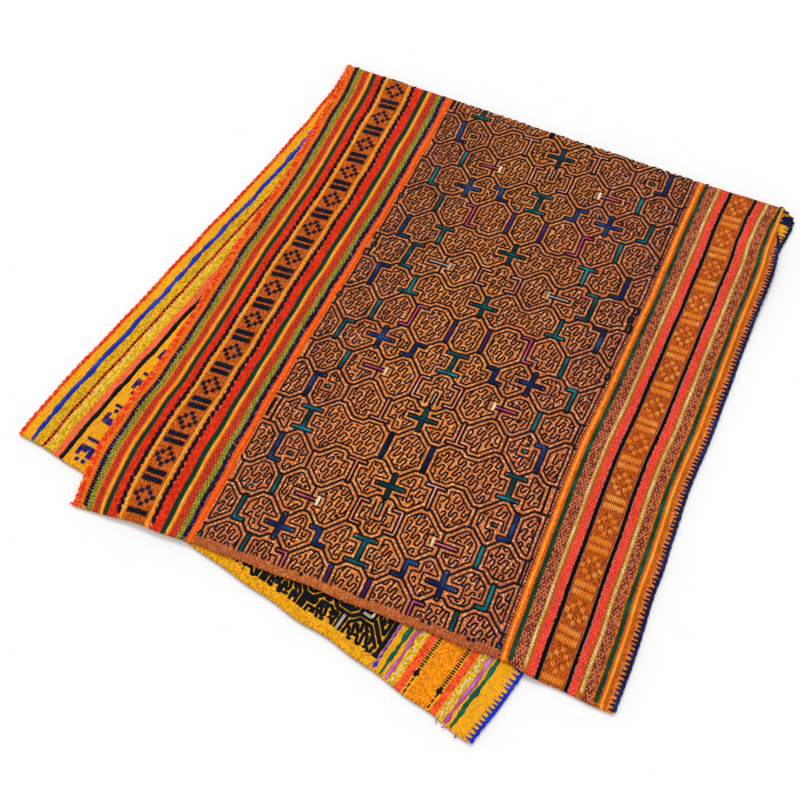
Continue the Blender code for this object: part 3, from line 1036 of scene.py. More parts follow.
def markSegments(look, kind, x, top, bottom, arm):
    middle = (top + bottom) / 2
    if kind == "bar":
        return [(x, top + look["barInset"], x, bottom - look["barInset"])]
    if kind in ("cross", "tailCross"):
        reach = look["crossArm"]
        return [(x, middle - reach, x, middle + reach), (x - reach, middle, x + reach, middle)]
    if kind == "leaf":
        return [(x - look["leafStem"][0], middle, x + look["leafStem"][1], middle)]
    arms = {"tee": (("top", -1), ("top", 1)), "ell": (("bottom", 1),), "zed": (("top", -1), ("bottom", 1)),
            "bracket": (("top", 1), ("bottom", 1)),
            "aitch": (("top", -1), ("top", 1), ("bottom", -1), ("bottom", 1))}[kind]
    return [(x, top, x, bottom)] + [arm(end, side) for end, side in arms]


def mazeChart(look):
    pick = np.random.default_rng(look["seed"])
    rows, high, width = look["repeatRows"], look["rowHeight"], look["boneWidth"]
    walls = wallSpots(look, pick)
    middle = look["halfWidth"] / look["unit"]
    bones, chartMarks, leaves, runs = [], [], [], []
    tops, bottoms, flats = {}, {}, {}
    for row in range(rows):
        y = (row + 0.5) * high + pick.uniform(-look["rowStray"], look["rowStray"])
        nodes = [(x, "up", row, number) for number, x in enumerate(walls[row])]
        nodes += [(x, "down", row + 1, number) for number, x in enumerate(walls[row + 1])]
        nodes.sort(key=lambda node: -node[0])
        levels = []
        for x, way, wallRow, number in nodes:
            shift = pick.choice(look["levelSteps"])
            level = round((y - shift if way == "up" else y + shift) * 2) / 2
            (bottoms if way == "up" else tops)[(wallRow, number)] = level
            levels.append((x, level, (way, wallRow, number)))
        for (xa, ya, first), (xb, yb, second) in zip(levels, levels[1:]):
            run, rise = xa - xb, abs(yb - ya)
            flat = max(run - rise, 0) * pick.choice(look["flatShares"])
            bend = (xa - flat, ya), (xa - flat - min(rise, run), yb)
            runs.append(((xa, ya), *bend, (xb, yb)))
            flats.setdefault(first, []).append(((xa, ya), bend[0]))
            flats.setdefault(second, []).append(((xb, yb), bend[1]))
    for run in runs:
        for start, end in zip(run, run[1:]):
            if start != end:
                bones.append((*start, *end, width))
        (xa, ya), (xb, _), (_, yc), _ = run
        if abs(xb - xa) > look["spurRoom"] and pick.random() < look["spurShare"]:
            rise, reach = look["spur"]
            end = ya + (rise if ya > yc else -rise)
            x = (xa + xb) / 2
            bones.append((x, ya, x, end, width))
            bones.append((x, end, x + pick.choice([-1, 1]) * reach, end, width))
    kindOf = {(row, number): (kind, colour) for row, number, kind, colour in wallMarks}
    for row in range(rows + 1):
        for number, x in enumerate(walls[row]):
            top = tops.get((row, number), -bottoms.get((row, number), 0))
            bottom = bottoms.get((row, number), 2 * rows * high - tops.get((row, number), 0))
            kind, colour = kindOf.get((row, number), ("", ""))
            if kind == "none":
                continue
            middleY = (top + bottom) / 2
            if kind == "" and pick.random() < look["squareShare"]:
                bones.append((x, top, x, middleY - look["squareGap"], width))
                bones.append((x, middleY + look["squareGap"], x, bottom, width))
                square = (x, middleY - look["squareHalf"], x, middleY + look["squareHalf"])
                chartMarks.append(([square], "teal", *markWidths["square"]))
                continue
            if kind in ("", "dot", "bar", "cross", "tailCross", "leaf"):
                tail = look["crossTail"] if kind == "tailCross" else 0.0
                bones.append((x, top, x, bottom + tail, width))
            if kind == "leaf":
                spot = x + look["leafStem"][1]
                leaves.append((spot, middleY - look["leafHalf"], spot, middleY + look["leafHalf"]))
            if kind == "dot":
                away = x - look["cellPitch"] / 2
                dot = (away - look["dotHalf"], middleY, away + look["dotHalf"], middleY)
                chartMarks.append(([dot], colour, *markWidths["dot"]))
            if kind in ("", "dot"):
                continue
            ends = {"top": flats.get(("down", row, number), []), "bottom": flats.get(("up", row, number), [])}

            def arm(end, side):
                y = top if end == "top" else bottom
                length, least, most = look["armLength"]
                for start, stop in ends[end]:
                    if stop != start and (stop[0] - start[0]) * side > 0:
                        length = max(min(abs(stop[0] - start[0]), most), least)
                return (x, y, x + side * length, y)

            chartMarks.append((markSegments(look, kind, x, top, bottom, arm), colour, *markWidths[colour]))
            if kind == "tailCross":
                first, last = look["tailMark"]
                chartMarks.append(([(x, bottom + first, x, bottom + last)], "cream", *markWidths["tail"]))
    return bones, chartMarks, leaves, middle, rows * high


def unfoldChart(look, chart, low, high):
    # mirrored about the middle line and about each end of the repeat; metres on the flat cloth
    bones, chartMarks, leaves, middle, span = chart
    unit = look["unit"]
    seam = edgeLines[1]
    first = int(math.floor(low / unit / span)) - 1
    last = int(math.ceil(high / unit / span)) + 1
    allBones, allMarks, allLeaves = [], [], []

    def place(line, repeat, flip):
        x0, y0, x1, y1 = line[:4]
        if flip:
            x0, x1 = 2 * middle - x0, 2 * middle - x1
        if repeat % 2:
            y0, y1 = span - y0, span - y1
        return (seam + x0 * unit, (y0 + repeat * span) * unit, seam + x1 * unit, (y1 + repeat * span) * unit)

    for repeat in range(first, last + 1):
        for flip in (False, True):
            for bone in bones:
                allBones.append(place(bone, repeat, flip) + (bone[4],))
            for segments, *looks in chartMarks:
                allMarks.append(([place(line, repeat, flip) for line in segments], *looks))
            for leaf in leaves:
                allLeaves.append(place(leaf, repeat, flip))
    return allBones, allMarks, allLeaves


class DistanceField:
    # how far each spot of the flat centre lies from the edge of the nearest thick line
    def __init__(self, x0, x1, y0, y1, step, far=0.02):
        self.x0, self.y0, self.step, self.far = x0, y0, step, far
        self.xs = np.arange(x0, x1 + step, step)
        self.ys = np.arange(y0, y1 + step, step)
        self.values = np.full((len(self.ys), len(self.xs)), far)

    def addLine(self, line, halfWidth, square=False):
        x0, y0, x1, y1 = line[:4]
        reach = self.far + halfWidth
        left, right = np.searchsorted(self.xs, (min(x0, x1) - reach, max(x0, x1) + reach))
        low, high = np.searchsorted(self.ys, (min(y0, y1) - reach, max(y0, y1) + reach))
        if left >= right or low >= high:
            return
        gridX, gridY = np.meshgrid(self.xs[left:right], self.ys[low:high])
        dx, dy = x1 - x0, y1 - y0
        share = np.clip(((gridX - x0) * dx + (gridY - y0) * dy) / max(dx * dx + dy * dy, 1e-12), 0, 1)
        awayX = np.abs(gridX - x0 - share * dx)
        awayY = np.abs(gridY - y0 - share * dy)
        if square:
            away = np.maximum(awayX, awayY) - halfWidth
        else:
            # eight-sided distance, so that a line round an end has cut corners
            away = np.maximum(np.maximum(awayX, awayY), (awayX + awayY) * math.sqrt(0.5)) * 0.96
            away = np.minimum(away, np.hypot(awayX, awayY)) - halfWidth
        window = self.values[low:high, left:right]
        np.minimum(window, away, out=window)

    def at(self, x, y):
        fx = np.clip((x - self.x0) / self.step, 0, len(self.xs) - 1.001)
        fy = np.clip((y - self.y0) / self.step, 0, len(self.ys) - 1.001)
        column, row = fx.astype(int), fy.astype(int)
        px, py = fx - column, fy - row
        grid = self.values
        return (grid[row, column] * (1 - px) * (1 - py) + grid[row, column + 1] * px * (1 - py)
                + grid[row + 1, column] * (1 - px) * py + grid[row + 1, column + 1] * px * py)

    def contours(self, level):
        grid = self.values - level
        inside = grid > 0

        def spot(key):
            kind, row, column = key
            nextRow, nextColumn = (row, column + 1) if kind == "h" else (row + 1, column)
            share = grid[row, column] / (grid[row, column] - grid[nextRow, nextColumn])
            x = self.xs[column] + (share * self.step if kind == "h" else 0)
            y = self.ys[row] + (share * self.step if kind == "v" else 0)
            return x, y

        code = inside[:-1, :-1] * 1 + inside[:-1, 1:] * 2 + inside[1:, 1:] * 4 + inside[1:, :-1] * 8
        rows, columns = np.nonzero((code > 0) & (code < 15))
        pairs = {1: ((0, 2),), 14: ((0, 2),), 2: ((0, 3),), 13: ((0, 3),), 4: ((1, 3),), 11: ((1, 3),),
                 8: ((1, 2),), 7: ((1, 2),), 3: ((2, 3),), 12: ((2, 3),), 6: ((0, 1),), 9: ((0, 1),),
                 5: ((0, 2), (1, 3)), 10: ((0, 3), (1, 2))}
        links = {}
        for row, column in zip(rows.tolist(), columns.tolist()):
            sides = (("h", row, column), ("h", row + 1, column), ("v", row, column), ("v", row, column + 1))
            for first, second in pairs[int(code[row, column])]:
                links.setdefault(sides[first], []).append(sides[second])
                links.setdefault(sides[second], []).append(sides[first])
        lines, used = [], set()
        for start in [key for key, near in links.items() if len(near) == 1] + list(links):
            if start in used:
                continue
            path, here, before = [], start, None
            while here is not None and here not in used:
                used.add(here)
                path.append(spot(here))
                onward = [near for near in links[here] if near != before and near not in used]
                before, here = here, (onward[0] if onward else None)
            if len(path) > 6:
                lines.append((np.array(path), start in links[before]))
        return lines


def evenPoints(points, spacing):
    step = np.hypot(*np.diff(points, axis=0).T)
    along = np.concatenate([[0], np.cumsum(step)])
    count = max(int(round(along[-1] / spacing)), 1)
    wanted = np.linspace(0, along[-1], count + 1)
    return np.stack([np.interp(wanted, along, points[:, axis]) for axis in range(points.shape[1])], 1)


def fewerPoints(points, closed, tolerance=0.00018, longest=0.004, foldReach=0.012, longestAtFold=0.0012):
    # keeps the corners of a line, and enough points between them to lie on the cloth
    if closed:
        points = np.vstack([points, points[:1]])
    keep = np.zeros(len(points), bool)
    keep[[0, -1]] = True
    spans = [(0, len(points) - 1)]
    if closed:
        far = int(np.argmax(np.hypot(*(points - points[0]).T)))
        keep[far] = True
        spans = [(0, far), (far, len(points) - 1)]
    while spans:
        start, end = spans.pop()
        if end - start < 2:
            continue
        base = points[end] - points[start]
        length = max(np.hypot(*base), 1e-9)
        rest = points[start + 1:end] - points[start]
        away = np.abs(rest[:, 0] * base[1] - rest[:, 1] * base[0]) / length
        worst = int(np.argmax(away))
        if away[worst] > tolerance:
            middle = start + 1 + worst
            keep[middle] = True
            spans += [(start, middle), (middle, end)]
    corners = points[keep]
    full = [corners[0]]
    for start, end in zip(corners, corners[1:]):
        crest = crestAt(np.array([start[0], end[0]]))
        nearFold = min(abs(start[1] - crest[0]), abs(end[1] - crest[1])) < foldReach or \
            (start[1] - crest[0]) * (end[1] - crest[1]) < 0
        allowed = longestAtFold if nearFold else longest
        count = max(int(math.ceil(np.hypot(*(end - start)) / allowed)), 1)
        full += [start + (end - start) * step / count for step in range(1, count + 1)]
    full = np.array(full)
    return full[:-1] if closed else full


def clipLine(line, low, high, left, right):
    # the part of a straight line that lies inside the embroidered field
    x0, y0, x1, y1 = line[:4]
    first, last = 0.0, 1.0
    for start, end, least, most in ((x0, x1, left, right), (y0, y1, low, high)):
        change = end - start
        if abs(change) < 1e-9:
            if not least <= start <= most:
                return None
            continue
        ends = sorted(((least - start) / change, (most - start) / change))
        first, last = max(first, ends[0]), min(last, ends[1])
    if last - first < 1e-3:
        return None
    return np.array([(x0 + (x1 - x0) * share, y0 + (y1 - y0) * share) for share in (first, last)])


fillerLook = {
    "turnRadius": 0.0021,
    "step": (0.0072, 0.007),  # from one upper turn of the thread to the next
    "fall": (0.0015, 0.0097),  # from an upper turn to the lower turn after it
    "rowStep": 0.0173,
    "wander": 0.0009,
    "wanderSizes": (0.035, 0.03),
    "longGap": 0.0009,  # a longer straight run has points added inside it, this far apart
    "pointStep": 0.0007,
    "margin": 0.001,
    "shortest": 0.004,
    "touchShare": 0.45,  # how many ends run on to the thin line
    "ringRadius": 0.0013,
    "ringGap": 0.0036,  # from the thin line to the middle of a small ring
    "ringShape": (0.8, 1.15, 1.25),  # least and most size, and how much taller than wide
    "openSpot": 0.0036,  # a ring fills a spot this far from every thread
    "openMost": 0.005,
    "seed": 5,
}


def meanderPeriod(look, perTurn):
    # round over one turn and under the next, with straight runs between; y grows downwards here
    radius = look["turnRadius"]
    fall, step = np.array(look["fall"]), np.array(look["step"])

    def leave(offset, side):
        return math.atan2(offset[1], offset[0]) + side * math.acos(2 * radius / np.hypot(*offset))

    down = leave(fall, -1)
    up = leave(step - fall, 1)
    over = np.linspace(up + math.pi - 2 * math.pi, down, perTurn)
    under = np.linspace(down + math.pi, up, perTurn)
    points = [(radius * math.cos(angle), radius * math.sin(angle)) for angle in over]
    points += [(fall[0] + radius * math.cos(angle), fall[1] + radius * math.sin(angle)) for angle in under]
    return np.array(points)


def fillingThreads(look, field, keep, touch, left, right, low, high):
    pick = np.random.default_rng(look["seed"])
    coarse = 5
    fine = 4 * (coarse - 1) + 1
    period = meanderPeriod(look, fine)
    step = np.array(look["step"])
    marked = np.zeros(len(period), bool)
    marked[::4] = True
    marked[fine::4] = True
    marked[fine - 1] = marked[-1] = True
    slope = step[1] / step[0]
    width = right - left
    repeats = int(width / step[0]) + 6
    threads = []
    y = low - slope * width - 0.04
    while y < high + 0.02:
        line = np.vstack([period + step * number for number in range(-2, repeats)]) + (left, y)
        chosen = np.tile(marked, repeats + 2)
        gaps = np.hypot(*np.diff(line, axis=0).T)
        full, flags, at = [], [], 0
        for gap in np.nonzero(gaps > look["longGap"])[0]:
            count = int(gaps[gap] / look["pointStep"])
            shares = np.arange(1, count)[:, None] / count
            full += [line[at:gap + 1], line[gap] + (line[gap + 1] - line[gap]) * shares]
            flags += [chosen[at:gap + 1], np.zeros(count - 1, bool)]
            at = gap + 1
        full.append(line[at:])
        flags.append(chosen[at:])
        line, chosen = np.vstack(full), np.concatenate(flags)
        sizeX, sizeY = look["wanderSizes"]
        x = line[:, 0] + look["wander"] * softNoise(line[:, 0], line[:, 1], sizeX, 3)
        yy = line[:, 1] + look["wander"] * softNoise(line[:, 0], line[:, 1], sizeY, 4)
        away = field.at(x, yy)
        within = (x > left) & (x < right) & (yy > low) & (yy < high)
        inside = (away > keep) & within
        for start, end in stretches(inside):
            end -= 1
            if pick.random() < look["touchShare"]:
                while start > 0 and within[start - 1] and touch < away[start - 1] <= away[start]:
                    start -= 1
            if pick.random() < look["touchShare"]:
                while end < len(x) - 1 and within[end + 1] and touch < away[end + 1] <= away[end]:
                    end += 1
            flag = chosen[start:end + 1].copy()
            flag[[0, -1]] = True
            thread = np.column_stack([x[start:end + 1], yy[start:end + 1]])
            if np.hypot(*np.diff(thread, axis=0).T).sum() > look["shortest"]:
                threads.append(thread[flag])
        y += look["rowStep"]
    return threads


def ringsInGaps(look, field, threads, keep):
    # small rings where the meander leaves the ground open
    half = field.step / 2
    taken = DistanceField(field.x0, field.xs[-1] - half, field.y0, field.ys[-1] - half, field.step, 0.0055)
    for line, closed in threads:
        for start, end in zip(line, line[1:]):
            taken.addLine((*start, *end), 0.0)
    pick = np.random.default_rng(look["seed"])
    rows, columns = np.nonzero((taken.values > look["openSpot"]) & (field.values > keep))
    order = np.argsort(-np.minimum(taken.values[rows, columns], look["openMost"]), kind="stable")
    rings = []
    for row, column in zip(rows[order], columns[order]):
        if taken.values[row, column] <= look["openSpot"]:
            continue
        x, y = taken.xs[column], taken.ys[row]
        taken.addLine((x, y, x, y), look["ringRadius"])
        angles = pick.uniform(0, 1) + np.arange(6) * math.pi / 3
        least, most, tall = look["ringShape"]
        radius = look["ringRadius"] * pick.uniform(least, most)
        ring = np.stack([x + radius * np.cos(angles), y + radius * tall * np.sin(angles)], 1)
        rings.append((ring, True))
    print("rings in open spots:", len(rings))
    return rings


def onUpper(line):
    # whether a line's middle lies on the upper layer
    middle = line[len(line) // 2]
    return middle[1] > crestAt(np.array([middle[0]]))[0] - cloth["layerStart"]


def sewMaze(look, filling):
    high = cloth["halfLength"] - look["plainHem"]
    low = -high
    left, right = edgeLines[1] + look["seamMargin"], edgeLines[2] - look["seamMargin"]
    bones, chartMarks, leaves = unfoldChart(look, mazeChart(look), low, high)
    # one more thick line runs beside the right seam
    beside = right - look["besideSeam"]
    bones.append((beside, low, beside, high, look["boneWidth"] * look["besideShare"]))
    field = DistanceField(left, right, low, high, look["gridStep"])
    rims = DistanceField(left, right, low, high, look["gridStep"], look["rimReach"])
    for bone in bones:
        field.addLine(bone, bone[4] / 2)
    field.addLine((left - look["leftWall"], low, left - look["leftWall"], high), 0.0)
    for segments, colour, size, core, lines in chartMarks:
        for segment in segments:
            field.addLine(segment, size / 2, True)
            rims.addLine(segment, size / 2 - look["rimWidth"] / 2, True)
    print("maze charted:", len(bones), "thick lines,", len(chartMarks), "marks")

    def clipped(lines):
        inside = [clipLine(line, low, high, left, right) for line in lines]
        return [line for line in inside if line is not None]

    thick = [(fewerPoints(line, False), False) for line in clipped(bones)]
    rim = [(fewerPoints(line, closed, 0.0002), closed) for line, closed in rims.contours(0.0)]
    thin = [(fewerPoints(line, closed, 0.00022), closed)
            for line, closed in field.contours(look["outlineGap"])]
    edge = filling["margin"]
    fill = fillingThreads(filling, field, look["outlineGap"] + look["fillerGap"], look["outlineGap"],
                          left + edge, right - edge, low + edge, high - edge)
    fill = asPairs(fill)
    fill += ringsInGaps(filling, field, fill, look["outlineGap"] + filling["ringGap"])
    cores = {}
    for segments, colour, size, core, lines in chartMarks:
        band = core / lines
        for segment in segments:
            x0, y0, x1, y1 = segment
            length = max(math.hypot(x1 - x0, y1 - y0), 1e-6)
            sideX, sideY = -(y1 - y0) / length, (x1 - x0) / length
            for number in range(lines):
                away = (number - (lines - 1) / 2) * band
                shifted = (x0 + sideX * away, y0 + sideY * away, x1 + sideX * away, y1 + sideY * away)
                for line in clipped([shifted]):
                    cores.setdefault((colour, lines), []).append((fewerPoints(line, False), band))
    return thick, rim, thin, fill, cores, clipped(leaves)


thickLines, rimLines, thinLines, fillLines, coreLines, leafLines = sewMaze(mazeLook, fillerLook)


def beaded(line, lift, spacing=0.00125):
    # short stitches in a row swell and narrow
    path = evenPoints(line, spacing)
    fullness = np.where(np.arange(len(path)) % 2, 0.82, 1.14)
    return withLift(path, lift, fullness)


def roundedFloat(start, end, lift, tips=0.45):
    # a float that is full in its middle and thin where it dives into the cloth
    shares = np.array([0.0, 0.22, 0.5, 0.78, 1.0])
    path = np.array(start) + (np.array(end) - np.array(start)) * shares[:, None]
    fullness = np.array([tips, 0.86, 1.0, 0.86, tips])
    return np.column_stack([path, lift * fullness, fullness])


def sewCentre(look):
    threads = (("wallThreads", thickLines, look["boneWidth"]), ("rimThreads", rimLines, look["rimWidth"]),
               ("lineThreads", thinLines, look["lineWidth"]), ("fillThreads", fillLines, look["lineWidth"]))
    for layer, wanted in (("Upper", True), ("Under", False)):
        for label, lines, width in threads:
            lift = look["lifts"][label] if wanted else 0.0
            chosen = [(line, closed) for line, closed in lines if onUpper(line) == wanted]
            if label == "wallThreads" and wanted:
                chosen = [beaded(line, lift) for line, closed in chosen]
            else:
                chosen = [(withLift(line, lift), closed) for line, closed in chosen]
            addSewing("centre_panel", label + layer, chosen, "dark", width, look["threadHeight"],
                      sides=4 if wanted else 3, wobble=look["wobble"])
    for (colour, count), lines in sorted(coreLines.items()):
        chosen = [withLift(line, look["coreLift"] if onUpper(line) else 0.0) for line, _ in lines]
        addSewing("centre_panel", f"{colour}{count}Threads", chosen, colour, lines[0][1] * 1.12, 0.0011,
                  wobble=0.0003)
    leaves = [roundedFloat(*line, look["leafLift"] if onUpper(line) else 0.0) for line in leafLines]
    for leaf in leaves:
        leaf[:, 3] = (0.12, 0.66, 1.0, 0.66, 0.12)
    addSewing("centre_panel", "leafThreads", leaves, "cream", 0.006, 0.0014)


sewCentre(mazeLook)


# woven motifs of the two bands: a rosette of eight squares, then two ribbed bars
# the reverse has blocks instead: place and size in millimetres, and every other form is turned over
motifLook = {
    "left": {"centre": 0.0825, "first": 0.0222, "pitch": 0.0541, "bars": (0.0219, 0.0322),
             "barWidth": 0.0262, "barHeight": 0.0074, "barRibs": 8, "square": (0.0056, 0.006),
             "squareRibs": 2, "spots": ((0, 10.7), (5.5, 5.3), (10.7, 0)), "floatWidth": 0.0034,
             "squareShare": 0.82, "hemGap": 0.006},
    "right": {"centre": 0.58775, "first": 0.0248, "pitch": 0.0552, "bars": (0.0215, 0.0322),
              "barWidth": 0.024, "barHeight": 0.008, "barRibs": 10, "square": (0.0048, 0.0064),
              "squareRibs": 2, "spots": ((0, 12.0), (5.6, 6.4), (10.4, 0)), "floatWidth": 0.0021,
              "squareShare": 0.95, "hemGap": 0.006},
    "reverse": {"centre": 0.088, "first": 0.0126, "pitch": 0.0534, "bars": (0.0349,), "barWidth": 0.0185,
                "barHeight": 0.0046, "barRibs": 6, "floatWidth": 0.0032, "hemGap": 0.03,
                "blockRib": 2.1, "blockShare": 0.95,
                "blocks": ((-7.4, 1.3, 6.2, 15.4), (-0.6, 4.8, 6.4, 9.0), (3.9, 6.8, 6.0, 6.4),
                           (8.6, 1.8, 7.4, 15.4), (-2.2, -11.2, 5.2, 5.0), (7.0, -11.0, 5.4, 5.2))},
    "formGap": 0.02,  # least room from a form's middle to the hem
    "ribStray": 0.0003,
}


def motifFloats(look, lift, seed, tips):
    pick = np.random.default_rng(seed)
    blocks = [(x, y, width, height, max(int(width / look["blockRib"]), 2), look["blockShare"])
              for x, y, width, height in look.get("blocks", ())]
    for x, y in look.get("spots", ()):
        width, height = look["square"]
        blocks += [(x * sx, y * sy, width * 1000, height * 1000, look["squareRibs"], look["squareShare"])
                   for sx in ((-1, 1) if x else (1,)) for sy in ((-1, 1) if y else (1,))]
    floats = []
    half = cloth["halfLength"]
    crest = crestAt(np.array([look["centre"]]))[0]

    def ribs(x, y, width, height, number, share):
        for rib in range(number):
            at = x + ((rib + 0.5) / number - 0.5) * width
            reach = height / 2 * pick.uniform(0.93, 1.05)
            shift = pick.uniform(-motifLook["ribStray"], motifLook["ribStray"])
            path = roundedFloat((at, y - reach + shift), (at, y + reach + shift), lift, tips)
            path[:, 3] *= share
            floats.append(path)

    for side in (1, -1):
        for number in range(-1, int(half / look["pitch"]) + 2):
            middle = crest + side * (look["first"] + number * look["pitch"])
            if number >= 0 and abs(middle) < half - motifLook["formGap"]:
                turn = -1 if "blocks" in look and number % 2 == 0 else 1
                for x, y, width, height, ribCount, share in blocks:
                    ribs(look["centre"] + x / 1000, middle + turn * y / 1000, width / 1000, height / 1000,
                         ribCount, share)
            for bar in look["bars"]:
                at = middle + side * bar
                if (at - crest) * side > 0 and abs(at) < half - look["hemGap"]:
                    ribs(look["centre"], at, look["barWidth"], look["barHeight"], look["barRibs"], 1.0)
    return floats


for side, seed, tips, colour in (("left", 31, 0.75, "motifNavy"), ("right", 32, 0.4, "motifGlow")):
    addSewing(side + "_band", side + "Motifs", motifFloats(motifLook[side], 0.0005, seed, tips), colour,
              motifLook[side]["floatWidth"], 0.0011)


# lines of slanted floats that run the length of the bands, like thin ropes
ropeLook = {
    # middle, reach to each side, pitch, length, width, yarn and share of the floats that are there
    "toothedNavy": ("left_band", 0.015, 0.0033, 0.0039, 0.003, 0.0036, "deepNavy", 1.0),
    "navyNearSeam": ("left_band", 0.1528, 0.0022, 0.0036, 0.0034, 0.0026, "deepNavy", 0.94),
    "wavyBlackOuter": ("left_band", 0.0592, 0.0019, 0.0092, 0.0112, 0.0052, "black", 1.0),
    "wavyBlackInner": ("left_band", 0.1066, 0.0019, 0.0092, 0.0112, 0.0054, "black", 1.0),
    "speckPaleEdge": ("left_band", 0.0186, 0.0004, 0.0072, 0.0014, 0.001, "pale", 0.6),
    "speckPaleOuter": ("left_band", 0.062, 0.0005, 0.0092, 0.0024, 0.0013, "pale", 0.55),
    "speckPaleInner": ("left_band", 0.1038, 0.0005, 0.0092, 0.0024, 0.0013, "pale", 0.55),
    "greenInner": ("right_band", 0.5372, 0.0018, 0.0044, 0.0044, 0.005, "green", 1.0),
    "khakiInner": ("right_band", 0.5547, 0.0015, 0.0039, 0.0046, 0.0023, "khaki", 1.0),
    "khakiOuter": ("right_band", 0.6207, 0.0017, 0.0039, 0.0048, 0.0024, "khaki", 1.0),
    "greenOuter": ("right_band", 0.6385, 0.0018, 0.0044, 0.0044, 0.0048, "green", 1.0),
}
# place across, width and yarn of the straight raised lines
raisedLines = {
    "raisedGold": ("left_band", (0.0383, 0.0649, 0.1001, 0.1298), 0.0021, "lineGold"),
    "raisedGlow": ("left_band", (0.1605,), 0.0014, "glow"),
    "raisedGlowInner": ("right_band", (0.5296,), 0.0036, "glow"),
    "raisedGlowOuter": ("right_band", (0.6455,), 0.0046, "glow"),
}


lineLook = {
    "ropeEnd": 0.003,  # from the hem
    "ropeLift": 0.0005,
    "ropeHeight": 0.0012,
    "raisedEnd": 0.002,
    "raisedLift": 0.0003,
    "raisedHeight": 0.001,
    "raisedStep": 0.005,
    "foldStep": 0.0012,
    "foldRoom": (0.01, 0.012, 0.014),
}


def rope(place, reach, pitch, length, share, seed):
    pick = np.random.default_rng(seed)
    half = cloth["halfLength"] - lineLook["ropeEnd"]
    floats = []
    for v in strides(pick, -half + pick.uniform(0, pitch), half - length, pitch, 0.92, 1.08):
        size = length * pick.uniform(0.85, 1.1)
        if pick.random() < share:
            floats.append(roundedFloat((place - reach, v), (place + reach, v + size), lineLook["ropeLift"]))
    return floats


def straightLine(u):
    look = lineLook
    crest = crestAt(u)
    end = cloth["halfLength"] - look["raisedEnd"]
    below, above, start = look["foldRoom"]
    v = np.concatenate([np.arange(-end, crest - below, look["raisedStep"]),
                        np.arange(crest - below, crest + above, look["foldStep"]),
                        np.arange(crest + start, end, look["raisedStep"])])
    return withLift(np.column_stack([np.full(len(v), u), v]), look["raisedLift"])


for number, (name, (node, place, reach, pitch, length, width, colour, share)) in enumerate(ropeLook.items()):
    addSewing(node, name, rope(place, reach, pitch, length, share, 60 + number), colour, width,
              lineLook["ropeHeight"])
for name, (node, places, width, colour) in raisedLines.items():
    addSewing(node, name, [straightLine(place) for place in places], colour, width, lineLook["raisedHeight"],
              wobble=0.0003)


# edges: overcast stitches on the left, blanket stitches and a cord on the right
edgeLook = {
    "overcastPitch": 0.0026,
    "overcastFace": 0.0062,
    "overcastReverse": 0.0042,
    "overcastWidth": 0.003,
    "scallop": 0.0086,
    "blanketPitch": 0.0054,
    "blanketDepth": 0.0074,
    "blanketWidth": 0.0033,
    "cordWidth": 0.0043,
    "out": 0.0008,
    "blueFrom": -0.6,  # past here on the under layer the blanket stitches are a brighter blue
    "tucked": 0.045,  # no blanket stitches show where the fold's corner is turned in
    "cordGap": (0.014, 0.048),  # and no cord from here below the crest to there above it
    "cordStep": 0.0028,
    "ends": (0.002, 0.003, 0.001),  # room at the hems: overcast, blanket and cord
    "overcastFullness": (0.6, 0.85, 1.0, 1.0, 1.0, 1.0, 0.8, 0.5),
    "blanketFullness": (0.3, 0.62, 0.95, 1.0, 1.0, 1.0, 0.62, 0.3),
}


def wrapStitch(edge, side, v, faceDepth, reverseDepth, slant, thickness, out):
    # from the face round the edge to the reverse; side says which way the cloth lies from the edge
    return np.array([
        (edge + side * faceDepth, v - slant, -0.0002),
        (edge + side * faceDepth * 0.75, v - slant * 0.75, 0.0004),
        (edge + side * faceDepth * 0.35, v - slant * 0.35, 0.0004),
        (edge - side * out * 0.6, v, -0.0003),
        (edge - side * out, v + slant * 0.1, -thickness * 0.5),
        (edge - side * out * 0.6, v + slant * 0.2, -thickness + 0.0003),
        (edge + side * reverseDepth * 0.5, v + slant * 0.6, -thickness - 0.0003),
        (edge + side * reverseDepth, v + slant, -thickness + 0.0003),
    ])


